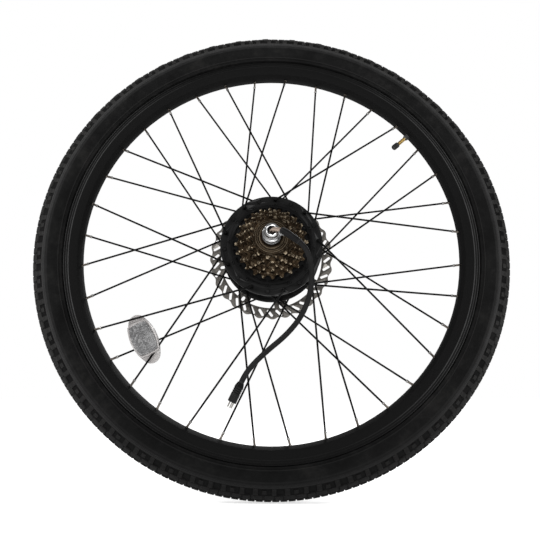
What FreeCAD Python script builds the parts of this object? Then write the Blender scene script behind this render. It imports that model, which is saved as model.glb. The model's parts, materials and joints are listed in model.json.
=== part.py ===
"""Rear wheel of an electric bicycle, with a geared hub motor.

The origin is the wheel's centre. The axle lies along Y, with the chain side
(sprockets and cable) at -Y and the brake disc at +Y. +Z is up and +X is to
the right when the wheel is seen from the chain side. Angles round the wheel
are degrees anticlockwise from +X, seen from the chain side. Millimetres.
"""

import FreeCAD, Part
import math
import os

from FreeCAD import Vector

# Tyre and rim, 50-559
TYRE_RADIUS = 330.5
TYRE_SECTION_RADIUS = 25.0
TYRE_CAVITY_RADIUS = 21.5
TYRE_CENTRE = TYRE_RADIUS - TYRE_SECTION_RADIUS
TUBE_RADIUS = 21.0
TUBE_WALL = 1.0
RIM_FLANGE_RADIUS = 286.0
BEAD_SEAT_RADIUS = 279.5
RIM_CHANNEL_RADIUS = 275.5
RIM_BED_RADIUS = 264.0
RIM_BED_WALL = 2.6
RIM_HALF_WIDTH = 13.0
RIM_WALL_MIDDLE = RIM_BED_RADIUS + RIM_BED_WALL / 2
RIM_TAPE_THICKNESS = 0.8

# Spokes
SPOKES_PER_SIDE = 18
SPOKE_RADIUS = 1.3
SPOKE_GAP = 0.05
LACING_START = 5.3
LACING_LEAD = 40.0
FLANGE_HOLE_CIRCLE = 64.3
FLANGE_HOLE_RADIUS = 1.5
COUNTERSINK_RADIUS = 2.9
COUNTERSINK_DEPTH = 0.9
SPOKE_HEAD_RADIUS = 2.4
SPOKE_HEAD_THICKNESS = 1.5
SPOKE_HEAD_GAP = 0.1
OUTSIDE_ELBOW_GAP = 2.85
INSIDE_ELBOW_GAP = 1.65
SPOKE_END_IN_NIPPLE = 1.0
RIM_HOLE_OFFSET = 2.0
NIPPLE_RADIUS = 2.0
NIPPLE_HEAD_RADIUS = 3.1
NIPPLE_LENGTH = 11.5
NIPPLE_HEAD_START = 2.35
NIPPLE_HEAD_LENGTH = 3.0
RIM_HOLE_RADIUS = 2.3
ACCESS_HOLE_RADIUS = 4.5

# Valve
VALVE_ANGLE = 40.7
VALVE_HOLE_RADIUS = 4.2
VALVE_ROOT_RADIUS = 4.0
VALVE_RADIUS = 2.75
VALVE_TIP_RADIUS = 238.0
VALVE_CAP_RADIUS = 4.0
VALVE_CAP_LENGTH = 9.5

# Hub shell
FLANGE_RADIUS = 70.0
DRIVE_FLANGE = (-22.0, -17.5)
LEFT_FLANGE = (27.5, 32.0)
DRUM_RADIUS = 59.6
DRUM_BORE = 55.0
COVER_RADIUS = 61.0
COVER_FACE = -22.0
COVER_SEAT = -19.0
SCREW_CIRCLE = 57.8
SCREW_COUNT = 12
SCREW_START = 25.0
SCREW_RADIUS = 1.25
SCREW_HEAD_RADIUS = 1.95
SCREW_HEAD_HEIGHT = 1.4
SCREW_SOCKET_RADIUS = 0.9
SCREW_SOCKET_DEPTH = 0.9
SCREW_END = -12.0
SCREW_CLEARANCE_RADIUS = 1.6
BOSS_RADIUS = 27.0
BOSS_FACE = 51.0

# Axle
AXLE_RADIUS = 6.0
AXLE_SHOULDER_RADIUS = 7.5
AXLE_SHOULDER = (-1.5, 43.0)
AXLE_START = -86.5
AXLE_END = 91.0
AXLE_BORE_RADIUS = 3.5
AXLE_BORE_END = 28.0
FLAT_WIDTH = 10.0
FLAT_LENGTH = 20.0
DROPOUT_SPACING = 135.0
DROPOUT_ROOM = 6.0
SPACER_RADIUS = 9.0
DRIVE_SPACER_FLANGE = (12.0, 4.0)
LEFT_SPACER_COLLAR = (11.0, 56.0)
SEAL_GAP = 0.35
FIT_GAP = 0.02

# Nuts and tab washers
WASHER_THICKNESS = 1.5
WASHER_RADIUS = 11.5
TAB_REACH = 16.0
TAB_HALF_WIDTH = 2.5
TAB_LENGTH = 3.0
DRIVE_NUT_END = -91.0
DRIVE_NUT_RADIUS = 9.2
DRIVE_NUT_LIP = 0.8
DRIVE_NUT_BASE_RADIUS = 12.0
DRIVE_NUT_RING = 2.2
DRIVE_NUT_MOUTH_RADIUS = 5.5
DRIVE_NUT_FLAT = 8.5
LEFT_NUT_FLAT_WIDTH = 19.0
LEFT_NUT_LENGTH = 11.0
LEFT_NUT_FACE_RADIUS = 12.0
LEFT_NUT_FACE_THICKNESS = 2.0

# Bearings: bore radius, outer radius, first face, last face, ball radius, ball count
DRIVE_BEARING = (6.0, 14.0, -39.0, -31.0, 2.4, 9)
LEFT_BEARING = (7.5, 14.0, 36.0, 43.0, 1.9, 12)
ROTOR_BEARING_A = (7.5, 12.0, -1.0, 4.0, 1.3, 14)
ROTOR_BEARING_B = (7.5, 12.0, 4.2, 9.2, 1.3, 14)
RACE_THICKNESS_SHARE = 0.28
BALL_GAP = 0.06

# Reduction gears, module 1
SUN_TEETH = 18
PLANET_TEETH = 36
RING_TEETH = 90
PLANET_ANGLES = (90.0, 210.0, 330.0)
GEAR_FACE = (-15.0, -6.0)
PRESSURE_ANGLE = math.radians(20.0)
BACKLASH = 0.06
PLANET_PIN_RADIUS = 4.0
PLANET_PIN_GAP = 0.04
CARRIER_HUB_RADIUS = 10.0
CARRIER_HUB_START = -22.0
PLANET_HOLE_RADIUS = 3.2
PLANET_HOLE_CIRCLE = 10.0
CARRIER_FACE = (-18.4, -16.0)
CARRIER_RADIUS = 33.0
ADDENDUM = 1.0
DEDENDUM = 1.2

# Electric motor
ROTOR_RADIUS = 50.0
MAGNET_COUNT = 20
MAGNET_RADII = (44.0, 47.4)
STATOR_RADIUS = 43.4
STATOR_BORE = 25.0
STATOR_TEETH = 18
STATOR_FACE = (6.0, 22.0)
COIL_OVERHANG = 2.5

# Freewheel and sprockets
SPIGOT_RADIUS = 17.45
FREEWHEEL_RADIUS = 23.6
FREEWHEEL_CORE_RADIUS = 20.0
FREEWHEEL_BORE = 20.5
FREEWHEEL_FACE = (-60.5, -29.0)
SPROCKET_TEETH = (24, 22, 20, 18, 16, 14)
FIRST_SPROCKET = -31.0
SPROCKET_PITCH = 5.5
SPROCKET_THICKNESS = 1.9
CHAIN_PITCH = 12.7
ROLLER_RADIUS = 3.95
TOOTH_HEIGHT = 1.0
TOOTH_TIP_HALF_WIDTH = 1.5
TOOTH_DOWN = 272.0
SEAT_HALF_ANGLE = math.radians(60.0)
RATCHET_TEETH = 18
RATCHET_DEPTH = 1.6
PAWLS = 2
PAWL_SIZE = (2.0, 7.4, 10.4)
PAWL_CORNER = (17.7, -49.7, -4.7)
PAWL_TOP_RADIUS = 19.9
PAWL_POCKET_SIZE = (3.0, 8.0, 11.0)
PAWL_POCKET_CORNER = (17.6, -50.0, -5.0)
SPANNER_NOTCHES = 12
FREEWHEEL_BALL_RADIUS = 1.3
FREEWHEEL_BALL_COUNT = 24
FREEWHEEL_BALL_ROWS = (-55.5, -34.0)
FREEWHEEL_BALL_CIRCLE = (FREEWHEEL_CORE_RADIUS + FREEWHEEL_BORE) / 2
PROTECTOR_RADIUS = 55.8
PROTECTOR_FACE = (-26.0, -24.5)
PROTECTOR_SLOTS = 28
PROTECTOR_SLOT_SIZE = (8.0, 3.2)
PROTECTOR_SLOT_CIRCLE = 50.8

# Brake disc
DISC_RADIUS = 90.0
DISC_WAVE = 1.5
DISC_LOBES = 28
DISC_TRACK_RADIUS = 75.0
DISC_THICKNESS = 2.0
DISC_SLOTS = 40
DISC_SLOT_START = 7.5
DISC_SLOT_SIZE = (12.0, 3.8)
DISC_SLOT_CIRCLE = 82.7
DISC_SLOT_SLANT = 41.0
DISC_ARMS = 8
DISC_ARM_START = 10.2
DISC_TURN = 1.2
ARM_WINDOW_SIZE = (7.0, 4.6)
ARM_WINDOW_CIRCLE = 73.6
SLIM_WINDOW_SIZE = (26.0, 5.0)
SLIM_WINDOW_CIRCLE = 53.0
DISC_CENTRE_RADIUS = 29.5
DISC_BORE_RADIUS = 17.5
BOLT_CIRCLE = 22.0
BOLT_COUNT = 6
BOLT_RADIUS = 2.45
BOLT_HEAD_RADIUS = 4.4
BOLT_HEAD_HEIGHT = 2.4
BOLT_SOCKET_RADIUS = 2.1
BOLT_SOCKET_FLOOR = 0.9
BOLT_END = 42.0
BOLT_CLEARANCE_RADIUS = 2.7

# Reflector on two chain-side spokes
# Its outlines: half length, end bulge, half width at the end, half width in the middle
REFLECTOR_CENTRE = Vector(-170.7, -8.0, -125.8)
REFLECTOR_DIRECTION = Vector(0.4535, 0, -0.891)
REFLECTOR_SPOKES_TURN = 200.0
REFLECTOR_OUTLINE = (29.0, 6.0, 10.5, 18.0)
HOLDER_OUTLINE = (22.0, 1.5, 13.2, 17.4)
RECESS_OUTLINE = (20.2, 1.3, 11.8, 15.4)
LENS_OUTLINE = (20.0, 1.3, 11.6, 15.2)
REFLECTOR_BACK = 5.4
REFLECTOR_TAB_FACE = 3.8
HOLDER_FACE = -3.5
LENS_FACE = -4.5
LENS_BACK = -1.6

# Motor cable
WIRE_COUNT = 3
WIRE_RADIUS = 1.0
WIRE_CIRCLE = 1.6
CABLE_RADIUS = 3.25
BOOT_RADIUS = 4.2
WIRE_ROUTE = [(0, -94, 0), (12, -100, -3)]
CABLE_ROUTE = [
    (12, -100, -3),
    (27.5, -108, -15),
    (42.7, -111, -30.8),
    (48.2, -111, -56.8),
    (45.2, -108, -84.8),
    (35.2, -104.5, -109.8),
    (17.2, -101, -131.3),
    (-5.8, -98, -149.8),
    (-20.3, -96.5, -163.3),
    (-30.3, -95.5, -175.3),
    (-35.4, -95, -185.8),
]
PLUG_RADIUS = 5.2
PLUG_NECK_RADIUS = 3.9
PLUG_NECK_LENGTH = 5.0
PLUG_LENGTH = 24.0
PLUG_GROOVES = (7.0, 9.5, 12.0)
PLUG_GROOVE_DEPTH = 0.5
PIN_ROOT = 6.0
PIN_RADIUS = 0.7
PIN_LENGTH = 6.5
PIN_CIRCLE = 2.6
PIN_COUNT = 5

AXIS = Vector(0, 1, 0)
CENTRE = Vector(0, 0, 0)
DROPOUT = DROPOUT_SPACING / 2


# ---- shapes that many pieces share ----

def at(radius, y, degrees):
    """The point at this radius, place along the axle and angle round it."""
    angle = math.radians(degrees)
    return Vector(radius * math.cos(angle), y, radius * math.sin(angle))


def turned(shape, degrees):
    """A copy of the shape, turned anticlockwise about the axle."""
    copy = shape.copy()
    copy.rotate(CENTRE, -AXIS, degrees)
    return copy


def repeated(shape, count, start=0.0):
    """Copies of the shape, evenly spaced round the axle."""
    return [turned(shape, start + i * 360.0 / count) for i in range(count)]


def lathe(profile):
    """A ring turned about the axle from (radius, y) corners."""
    corners = [Vector(radius, y, 0) for radius, y in profile]
    face = Part.Face(Part.makePolygon(corners + corners[:1]))
    ring = face.revolve(CENTRE, AXIS, 360)
    return upright(ring)


def upright(solid):
    """The same solid with its surface facing outward."""
    if solid.Volume < 0:
        solid.reverse()
    return solid


def tube(inner, outer, start, end):
    """A plain ring about the axle, or a disc where inner is 0."""
    disc = Part.makeCylinder(outer, end - start, Vector(0, start, 0), AXIS)
    if inner == 0:
        return disc
    bore = Part.makeCylinder(inner, end - start + 2, Vector(0, start - 1, 0), AXIS)
    return disc.cut(bore)


def rod(radius, start, end):
    """A cylinder between two points."""
    along = end - start
    return Part.makeCylinder(radius, along.Length, start, along)


def plate(edges, start, end):
    """A flat plate between two places along the axle, from its outline's edges."""
    face = Part.Face(Part.Wire(edges))
    return upright(face.extrude(Vector(0, end - start, 0)))


def polygon_plate(corners, start, end):
    """A flat plate from (radius, degrees) corners."""
    points = [at(radius, start, degrees) for radius, degrees in corners]
    face = Part.Face(Part.makePolygon(points + points[:1]))
    return upright(face.extrude(Vector(0, end - start, 0)))


def sector(inner, outer, half_angle, start, end):
    """A curved block that straddles +X."""
    edges = [
        Part.Arc(at(outer, start, -half_angle), at(outer, start, 0), at(outer, start, half_angle)).toShape(),
        Part.makeLine(at(outer, start, half_angle), at(inner, start, half_angle)),
        Part.Arc(at(inner, start, half_angle), at(inner, start, 0), at(inner, start, -half_angle)).toShape(),
        Part.makeLine(at(inner, start, -half_angle), at(outer, start, -half_angle)),
    ]
    return plate(edges, start, end)


def radial_block(inner, outer, half_width, start, end):
    """A straight-sided block that lies along +X."""
    corner = Vector(inner, start, -half_width)
    return Part.makeBox(outer - inner, end - start, 2 * half_width, corner)


def slot_plate(length, width, start, end):
    """A plate with round ends, lying along X and centred on the axle."""
    half = length / 2 - width / 2
    r = width / 2
    edges = [
        Part.makeLine(Vector(-half, start, -r), Vector(half, start, -r)),
        Part.Arc(Vector(half, start, -r), Vector(half + r, start, 0), Vector(half, start, r)).toShape(),
        Part.makeLine(Vector(half, start, r), Vector(-half, start, r)),
        Part.Arc(Vector(-half, start, r), Vector(-half - r, start, 0), Vector(-half, start, -r)).toShape(),
    ]
    return plate(edges, start, end)


def barrel_plate(outline, start, end):
    """A plate with bowed sides and bowed ends, lying along X and centred on the axle."""
    half_length, bulge, end_half_width, half_width = outline
    corners = [
        Vector(-half_length, start, -end_half_width),
        Vector(half_length, start, -end_half_width),
        Vector(half_length, start, end_half_width),
        Vector(-half_length, start, end_half_width),
    ]
    middles = [
        Vector(0, start, -half_width),
        Vector(half_length + bulge, start, 0),
        Vector(0, start, half_width),
        Vector(-half_length - bulge, start, 0),
    ]
    edges = []
    for first, middle, last in zip(corners, middles, corners[1:] + corners[:1]):
        edges.append(Part.Arc(first, middle, last).toShape())
    return plate(edges, start, end)


def placed(shape, degrees, position):
    """A copy turned about the axle direction, then moved to a position."""
    copy = turned(shape, degrees)
    copy.translate(position)
    return copy


def save(name, *solids):
    """One STEP file for one named piece, or for a group of alike pieces."""
    shape = solids[0] if len(solids) == 1 else Part.makeCompound(list(solids))
    shape.exportStep("parts/" + name + ".step")


# ---- tyre, tube and rim ----

def make_tyre():
    """The tyre: a round crown, sidewalls and two beads that sit inside the rim."""
    lip = (287.2, 17.04)
    toe = (285.8, 8.6)
    outer = Part.Arc(Vector(lip[0], -lip[1], 0), Vector(TYRE_RADIUS, 0, 0), Vector(lip[0], lip[1], 0))
    crown = TYRE_CENTRE + TYRE_CAVITY_RADIUS
    inner = Part.Arc(Vector(toe[0], toe[1], 0), Vector(crown, 0, 0), Vector(toe[0], -toe[1], 0))
    bead = [lip, (286.8, 10.8), (BEAD_SEAT_RADIUS + 0.1, 10.0), (BEAD_SEAT_RADIUS + 0.1, 7.9), toe]
    left = [Vector(r, y, 0) for r, y in bead]
    right = [Vector(r, -y, 0) for r, y in reversed(bead)]
    edges = [outer.toShape()] + Part.makePolygon(left).Edges
    edges += [inner.toShape()] + Part.makePolygon(right).Edges
    face = Part.Face(Part.Wire(edges))
    return upright(face.revolve(CENTRE, AXIS, 360))


def make_inner_tube():
    """The air-filled tube, as a hollow ring."""
    outside = Part.makeTorus(TYRE_CENTRE, TUBE_RADIUS, CENTRE, AXIS)
    inside = Part.makeTorus(TYRE_CENTRE, TUBE_RADIUS - TUBE_WALL, CENTRE, AXIS)
    return outside.cut(inside)


def spoke_lines():
    """Each spoke's side, lead, nipple angle and hub angle, over one repeat of the lacing."""
    leads = (LACING_LEAD, LACING_LEAD, -LACING_LEAD, -LACING_LEAD)
    lines = []
    for step, lead in enumerate(leads):
        nipple_angle = LACING_START + 10.0 * step
        side = -1 if step % 2 == 0 else 1
        lines.append((side, lead, nipple_angle, nipple_angle + lead))
    return lines


def spoke_ends(side, lead, nipple_angle, hub_angle):
    """The elbow, the far side of the flange, and the place in the rim's inner wall."""
    flange = DRIVE_FLANGE if side < 0 else LEFT_FLANGE
    outer_face = min(flange) if side < 0 else max(flange)
    inner_face = max(flange) if side < 0 else min(flange)
    if lead > 0:
        elbow_y = outer_face + side * OUTSIDE_ELBOW_GAP
        head_y = inner_face - side * SPOKE_HEAD_GAP
        head_out = -side
    else:
        elbow_y = inner_face - side * INSIDE_ELBOW_GAP
        head_y = outer_face + side * (SPOKE_HEAD_GAP - COUNTERSINK_DEPTH)
        head_out = side
    elbow = at(FLANGE_HOLE_CIRCLE, elbow_y, hub_angle)
    head = at(FLANGE_HOLE_CIRCLE, head_y, hub_angle)
    rim_point = at(RIM_WALL_MIDDLE, side * RIM_HOLE_OFFSET, nipple_angle)
    return elbow, head, head_out, rim_point


def make_spoke(ends):
    """One spoke: head, short bend through the flange, straight wire."""
    elbow, head, head_out, rim_point = ends
    along = (rim_point - elbow).normalize()
    wire = rod(SPOKE_RADIUS, elbow, rim_point - along * SPOKE_END_IN_NIPPLE)
    shank = rod(SPOKE_RADIUS, elbow, head)
    bend = Part.makeSphere(SPOKE_RADIUS, elbow)
    head_disc = rod(SPOKE_HEAD_RADIUS, head, head + Vector(0, head_out * SPOKE_HEAD_THICKNESS, 0))
    return wire.fuse(bend).fuse(shank).fuse(head_disc)


def make_nipple(ends):
    """One nipple: a shank through the rim's inner wall and a head above it."""
    elbow, _, _, rim_point = ends
    along = (rim_point - elbow).normalize()
    shank_end = rim_point + along * NIPPLE_HEAD_START
    top = shank_end + along * NIPPLE_HEAD_LENGTH
    bottom = rim_point - along * NIPPLE_LENGTH
    body = rod(NIPPLE_RADIUS, bottom, shank_end).fuse(rod(NIPPLE_HEAD_RADIUS, shank_end, top))
    bore = rod(SPOKE_RADIUS + SPOKE_GAP, bottom - along, top + along)
    return body.cut(bore)


def make_lacing():
    """All spokes of each side, all nipples, and the holes that the rim needs for them."""
    spokes = {-1: [], 1: []}
    nipples = []
    holes = []
    repeats = SPOKES_PER_SIDE // 2
    for side, lead, nipple_angle, hub_angle in spoke_lines():
        ends = spoke_ends(side, lead, nipple_angle, hub_angle)
        elbow, _, _, rim_point = ends
        along = (rim_point - elbow).normalize()
        nipple_hole = rod(RIM_HOLE_RADIUS, rim_point - along * 6, rim_point + along * 4)
        access_start = at(RIM_CHANNEL_RADIUS - 4, side * RIM_HOLE_OFFSET, nipple_angle)
        access_end = at(RIM_CHANNEL_RADIUS + 4, side * RIM_HOLE_OFFSET, nipple_angle)
        access_hole = rod(ACCESS_HOLE_RADIUS, access_start, access_end)
        spokes[side] += repeated(make_spoke(ends), repeats)
        nipples += repeated(make_nipple(ends), repeats)
        holes += repeated(nipple_hole, repeats) + repeated(access_hole, repeats)
    return spokes, nipples, holes


def make_rim(holes):
    """The double-wall rim, with its nipple, access and valve holes."""
    half_outline = [
        (RIM_BED_RADIUS, 5.0),
        (267.6, 11.5),
        (272.0, RIM_HALF_WIDTH),
        (RIM_FLANGE_RADIUS, RIM_HALF_WIDTH),
        (RIM_FLANGE_RADIUS, 11.2),
        (280.8, 10.7),
        (BEAD_SEAT_RADIUS, 10.2),
        (BEAD_SEAT_RADIUS, 7.5),
        (RIM_CHANNEL_RADIUS, 5.5),
    ]
    half_cavity = [
        (RIM_BED_RADIUS + RIM_BED_WALL, 5.0),
        (269.4, 10.0),
        (272.0, 11.2),
        (276.8, 11.0),
        (276.8, 7.5),
        (273.6, 5.0),
    ]
    outside = lathe(half_outline + [(r, -y) for r, y in reversed(half_outline)])
    cavity = lathe(half_cavity + [(r, -y) for r, y in reversed(half_cavity)])
    valve_hole = rod(VALVE_HOLE_RADIUS, at(255, 0, VALVE_ANGLE), at(285, 0, VALVE_ANGLE))
    return outside.cut(cavity).cut(Part.makeCompound(holes + [valve_hole]))


def make_rim_tape():
    """The tape that covers the access holes, with a hole for the valve."""
    start = RIM_CHANNEL_RADIUS + 0.1
    tape = tube(start, start + RIM_TAPE_THICKNESS, -5.3, 5.3)
    valve_hole = rod(VALVE_HOLE_RADIUS, at(255, 0, VALVE_ANGLE), at(285, 0, VALVE_ANGLE))
    return tape.cut(valve_hole)


def make_valve():
    """The valve stem with its rubber-covered root, and its cap."""
    root = rod(VALVE_ROOT_RADIUS, at(258.5, 0, VALVE_ANGLE), at(284.2, 0, VALVE_ANGLE))
    stem = rod(VALVE_RADIUS, at(VALVE_TIP_RADIUS, 0, VALVE_ANGLE), at(259.5, 0, VALVE_ANGLE))
    cap_start = VALVE_TIP_RADIUS - 3.0
    cap_end = cap_start + VALVE_CAP_LENGTH
    cap = rod(VALVE_CAP_RADIUS, at(cap_start, 0, VALVE_ANGLE), at(cap_end, 0, VALVE_ANGLE))
    thread_start = at(VALVE_TIP_RADIUS - 0.2, 0, VALVE_ANGLE)
    thread_end = at(cap_end + 1, 0, VALVE_ANGLE)
    thread = rod(VALVE_RADIUS + FIT_GAP, thread_start, thread_end)
    return root.fuse(stem), cap.cut(thread)


# ---- hub shell, cover and bearings ----

def make_spoke_hole(inner_face, outer_face):
    """The space that one spoke needs in a flange: a hole, countersunk from outside."""
    out = 1 if outer_face > inner_face else -1
    hole = rod(
        FLANGE_HOLE_RADIUS,
        at(FLANGE_HOLE_CIRCLE, inner_face - out, 0),
        at(FLANGE_HOLE_CIRCLE, outer_face + out, 0),
    )
    countersink = rod(
        COUNTERSINK_RADIUS,
        at(FLANGE_HOLE_CIRCLE, outer_face - out * COUNTERSINK_DEPTH, 0),
        at(FLANGE_HOLE_CIRCLE, outer_face + out, 0),
    )
    return hole.fuse(countersink)


def make_hub_shell():
    """The drum with both spoke flanges, the closed left wall and the brake disc boss."""
    drive_outer, drive_inner = DRIVE_FLANGE
    left_inner, left_outer = LEFT_FLANGE
    profile = [
        (COVER_RADIUS + 0.2, drive_outer),
        (FLANGE_RADIUS, drive_outer),
        (FLANGE_RADIUS, drive_inner),
        (DRUM_RADIUS + 0.6, drive_inner),
        (DRUM_RADIUS, drive_inner + 1.5),
        (DRUM_RADIUS, left_inner - 1.5),
        (DRUM_RADIUS + 0.6, left_inner),
        (FLANGE_RADIUS, left_inner),
        (FLANGE_RADIUS, left_outer),
        (DRUM_RADIUS + 0.6, left_outer),
        (DRUM_RADIUS, left_outer + 1.5),
        (55.0, 35.5),
        (BOSS_RADIUS + 2, 40.0),
        (BOSS_RADIUS, 42.0),
        (BOSS_RADIUS, BOSS_FACE),
        (17.3, BOSS_FACE),
        (17.3, BOSS_FACE + 1.8),
        (12.0, BOSS_FACE + 1.8),
        (12.0, 43.5),
        (14.0, 43.5),
        (14.0, 36.0),
        (11.0, 36.0),
        (11.0, 33.0),
        (26.0, 33.0),
        (51.0, 30.5),
        (DRUM_BORE, 26.5),
        (DRUM_BORE, COVER_SEAT),
        (COVER_RADIUS + 0.2, COVER_SEAT),
    ]
    shell = lathe(profile)
    screw_start = at(SCREW_CIRCLE, COVER_SEAT - 1, 0)
    screw_end = at(SCREW_CIRCLE, SCREW_END + 1, 0)
    screw_hole = rod(SCREW_RADIUS + FIT_GAP, screw_start, screw_end)
    bolt_start = at(BOLT_CIRCLE, BOLT_END - 0.5, 0)
    bolt_end = at(BOLT_CIRCLE, BOSS_FACE + 1, 0)
    bolt_hole = rod(BOLT_RADIUS + FIT_GAP, bolt_start, bolt_end)
    holes = repeated(make_spoke_hole(drive_inner, drive_outer), SPOKES_PER_SIDE, LACING_START)
    holes += repeated(make_spoke_hole(left_inner, left_outer), SPOKES_PER_SIDE, LACING_START + 10.0)
    holes += repeated(screw_hole, SCREW_COUNT, SCREW_START)
    holes += repeated(bolt_hole, BOLT_COUNT)
    return shell.cut(Part.makeCompound(holes))


def make_drive_cover():
    """The screwed-on chain-side cover, with the threaded spigot that carries the freewheel."""
    profile = [
        (COVER_RADIUS, COVER_FACE),
        (COVER_RADIUS, COVER_SEAT),
        (DRUM_BORE - 0.1, COVER_SEAT),
        (DRUM_BORE - 0.1, -17.0),
        (52.0, -17.0),
        (51.0, COVER_SEAT),
        (21.0, COVER_SEAT),
        (16.0, -24.0),
        (11.0, -29.0),
        (11.0, -31.0),
        (14.0, -31.0),
        (14.0, -41.0),
        (SPIGOT_RADIUS, -41.0),
        (SPIGOT_RADIUS, PROTECTOR_FACE[1] + FIT_GAP),
        (24.0, PROTECTOR_FACE[1] + FIT_GAP),
        (24.0, COVER_FACE),
    ]
    hole_start = at(SCREW_CIRCLE, COVER_FACE - 1, 0)
    hole_end = at(SCREW_CIRCLE, COVER_SEAT + 1, 0)
    shank_hole = rod(SCREW_CLEARANCE_RADIUS, hole_start, hole_end)
    return lathe(profile).cut(Part.makeCompound(repeated(shank_hole, SCREW_COUNT, SCREW_START)))


def make_cover_screws():
    """Domed M2.5 screws with a hexagon socket."""
    top = COVER_FACE - SCREW_HEAD_HEIGHT
    socket_floor = at(SCREW_CIRCLE, top + SCREW_SOCKET_DEPTH, 0)
    head = rod(SCREW_HEAD_RADIUS, at(SCREW_CIRCLE, top, 0), at(SCREW_CIRCLE, COVER_FACE - FIT_GAP, 0))
    shank = rod(SCREW_RADIUS, socket_floor, at(SCREW_CIRCLE, SCREW_END, 0))
    socket = rod(SCREW_SOCKET_RADIUS, at(SCREW_CIRCLE, top - 1, 0), socket_floor)
    return repeated(head.fuse(shank).cut(socket), SCREW_COUNT, SCREW_START)


def make_bearing(size):
    """The inner race, the outer race and the balls of one bearing."""
    bore, outer, start, end, ball_radius, count = size
    middle = (start + end) / 2
    ball_circle = (bore + outer) / 2
    race = (outer - bore) * RACE_THICKNESS_SHARE
    groove = Part.makeTorus(ball_circle, ball_radius + BALL_GAP, Vector(0, middle, 0), AXIS)
    inner = tube(bore + FIT_GAP, bore + race, start, end).cut(groove)
    outer_race = tube(outer - race, outer - FIT_GAP, start, end).cut(groove)
    ball = Part.makeSphere(ball_radius, at(ball_circle, middle, 0))
    return inner, outer_race, repeated(ball, count)


def make_seals():
    """Rubber lip seals at both ends of the hub."""
    drive = tube(SPACER_RADIUS + SEAL_GAP, 13.95, -41.0, -39.3)
    left = tube(SPACER_RADIUS + SEAL_GAP, 11.95, 44.0, 46.5)
    return drive, left


# ---- axle ----

def make_axle():
    """The hollow stepped axle, with wrench flats at both ends and a slot for the wires."""
    shaft = tube(0, AXLE_RADIUS, AXLE_START, AXLE_END)
    shoulder = tube(0, AXLE_SHOULDER_RADIUS, *AXLE_SHOULDER)
    bore = tube(0, AXLE_BORE_RADIUS, AXLE_START - 1, AXLE_BORE_END)
    wire_slot = Part.makeBox(5.0, 3.5, 10.0, Vector(-2.5, AXLE_BORE_END - 3.5, 0))
    axle = shaft.fuse(shoulder).cut(bore).cut(wire_slot)
    for start in (-DROPOUT - FLAT_LENGTH + 1.5, DROPOUT - 1.5):
        for side in (-1, 1):
            height = FLAT_WIDTH / 2 if side > 0 else -FLAT_WIDTH / 2 - AXLE_RADIUS
            corner = Vector(-AXLE_RADIUS, start, height)
            axle = axle.cut(Part.makeBox(2 * AXLE_RADIUS, FLAT_LENGTH, AXLE_RADIUS, corner))
    return axle


def make_spacers():
    """The two sleeves whose outer faces are the shoulders that the frame's dropouts clamp on."""
    bore = AXLE_RADIUS + FIT_GAP
    flange_radius, flange_thickness = DRIVE_SPACER_FLANGE
    collar_radius, collar_start = LEFT_SPACER_COLLAR
    flange_end = -DROPOUT + flange_thickness
    drive = tube(bore, SPACER_RADIUS, flange_end, DRIVE_BEARING[2])
    drive = drive.fuse(tube(bore, flange_radius, -DROPOUT, flange_end))
    left = tube(bore, SPACER_RADIUS, LEFT_BEARING[3], collar_start)
    left = left.fuse(tube(bore, collar_radius, collar_start, DROPOUT))
    return drive, left


def make_washer(side):
    """A tab washer: its bore fits the axle's flats and its tab keys into the dropout."""
    near = side * (DROPOUT + DROPOUT_ROOM)
    far = near + side * WASHER_THICKNESS
    start, end = min(near, far), max(near, far)
    bore = tube(0, AXLE_RADIUS + 0.1, start - 1, end + 1)
    flats = Part.makeBox(20, 10, FLAT_WIDTH + 0.2, Vector(-10, start - 5, -FLAT_WIDTH / 2 - 0.1))
    disc = tube(0, WASHER_RADIUS, start, end)
    disc = disc.fuse(radial_block(WASHER_RADIUS - 1.5, TAB_REACH, TAB_HALF_WIDTH, start, end))
    tab_start = min(near - side * TAB_LENGTH, near)
    tab_end = max(near - side * TAB_LENGTH, near)
    tab = radial_block(TAB_REACH - WASHER_THICKNESS, TAB_REACH, TAB_HALF_WIDTH, tab_start, tab_end)
    return disc.fuse(tab).cut(bore.common(flats))


def make_drive_nut():
    """The long round sleeve nut that the cable comes out of."""
    base = -DROPOUT - DROPOUT_ROOM - WASHER_THICKNESS
    lip = DRIVE_NUT_END + DRIVE_NUT_LIP
    body = tube(0, DRIVE_NUT_RADIUS, lip, base)
    body = body.fuse(tube(0, DRIVE_NUT_RADIUS - DRIVE_NUT_LIP, DRIVE_NUT_END, lip))
    for number in range(3):
        step = number * DRIVE_NUT_RING
        body = body.fuse(tube(0, DRIVE_NUT_BASE_RADIUS - step / 2, base - step - DRIVE_NUT_RING, base - step))
    for height in (DRIVE_NUT_FLAT, -DRIVE_NUT_FLAT - DRIVE_NUT_RADIUS):
        corner = Vector(-DRIVE_NUT_BASE_RADIUS, base - 3 * DRIVE_NUT_RING, height)
        flat = Part.makeBox(2 * DRIVE_NUT_BASE_RADIUS, 2 * DRIVE_NUT_RING, DRIVE_NUT_RADIUS, corner)
        body = body.cut(flat)
    thread = tube(0, AXLE_RADIUS + FIT_GAP, AXLE_START - 0.3, base + 1)
    mouth = tube(0, DRIVE_NUT_MOUTH_RADIUS, DRIVE_NUT_END - 1, AXLE_START)
    return body.cut(thread).cut(mouth)


def make_left_nut():
    """A hexagon nut with a washer face."""
    start = DROPOUT + DROPOUT_ROOM + WASHER_THICKNESS
    end = start + LEFT_NUT_LENGTH
    face_end = start + LEFT_NUT_FACE_THICKNESS
    corner_radius = LEFT_NUT_FLAT_WIDTH / math.sqrt(3)
    hexagon = polygon_plate([(corner_radius, 60.0 * i) for i in range(6)], face_end, end)
    nut = hexagon.fuse(tube(0, LEFT_NUT_FACE_RADIUS, start, face_end))
    return nut.cut(tube(0, AXLE_RADIUS + FIT_GAP, start - 1, end + 1))


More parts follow.
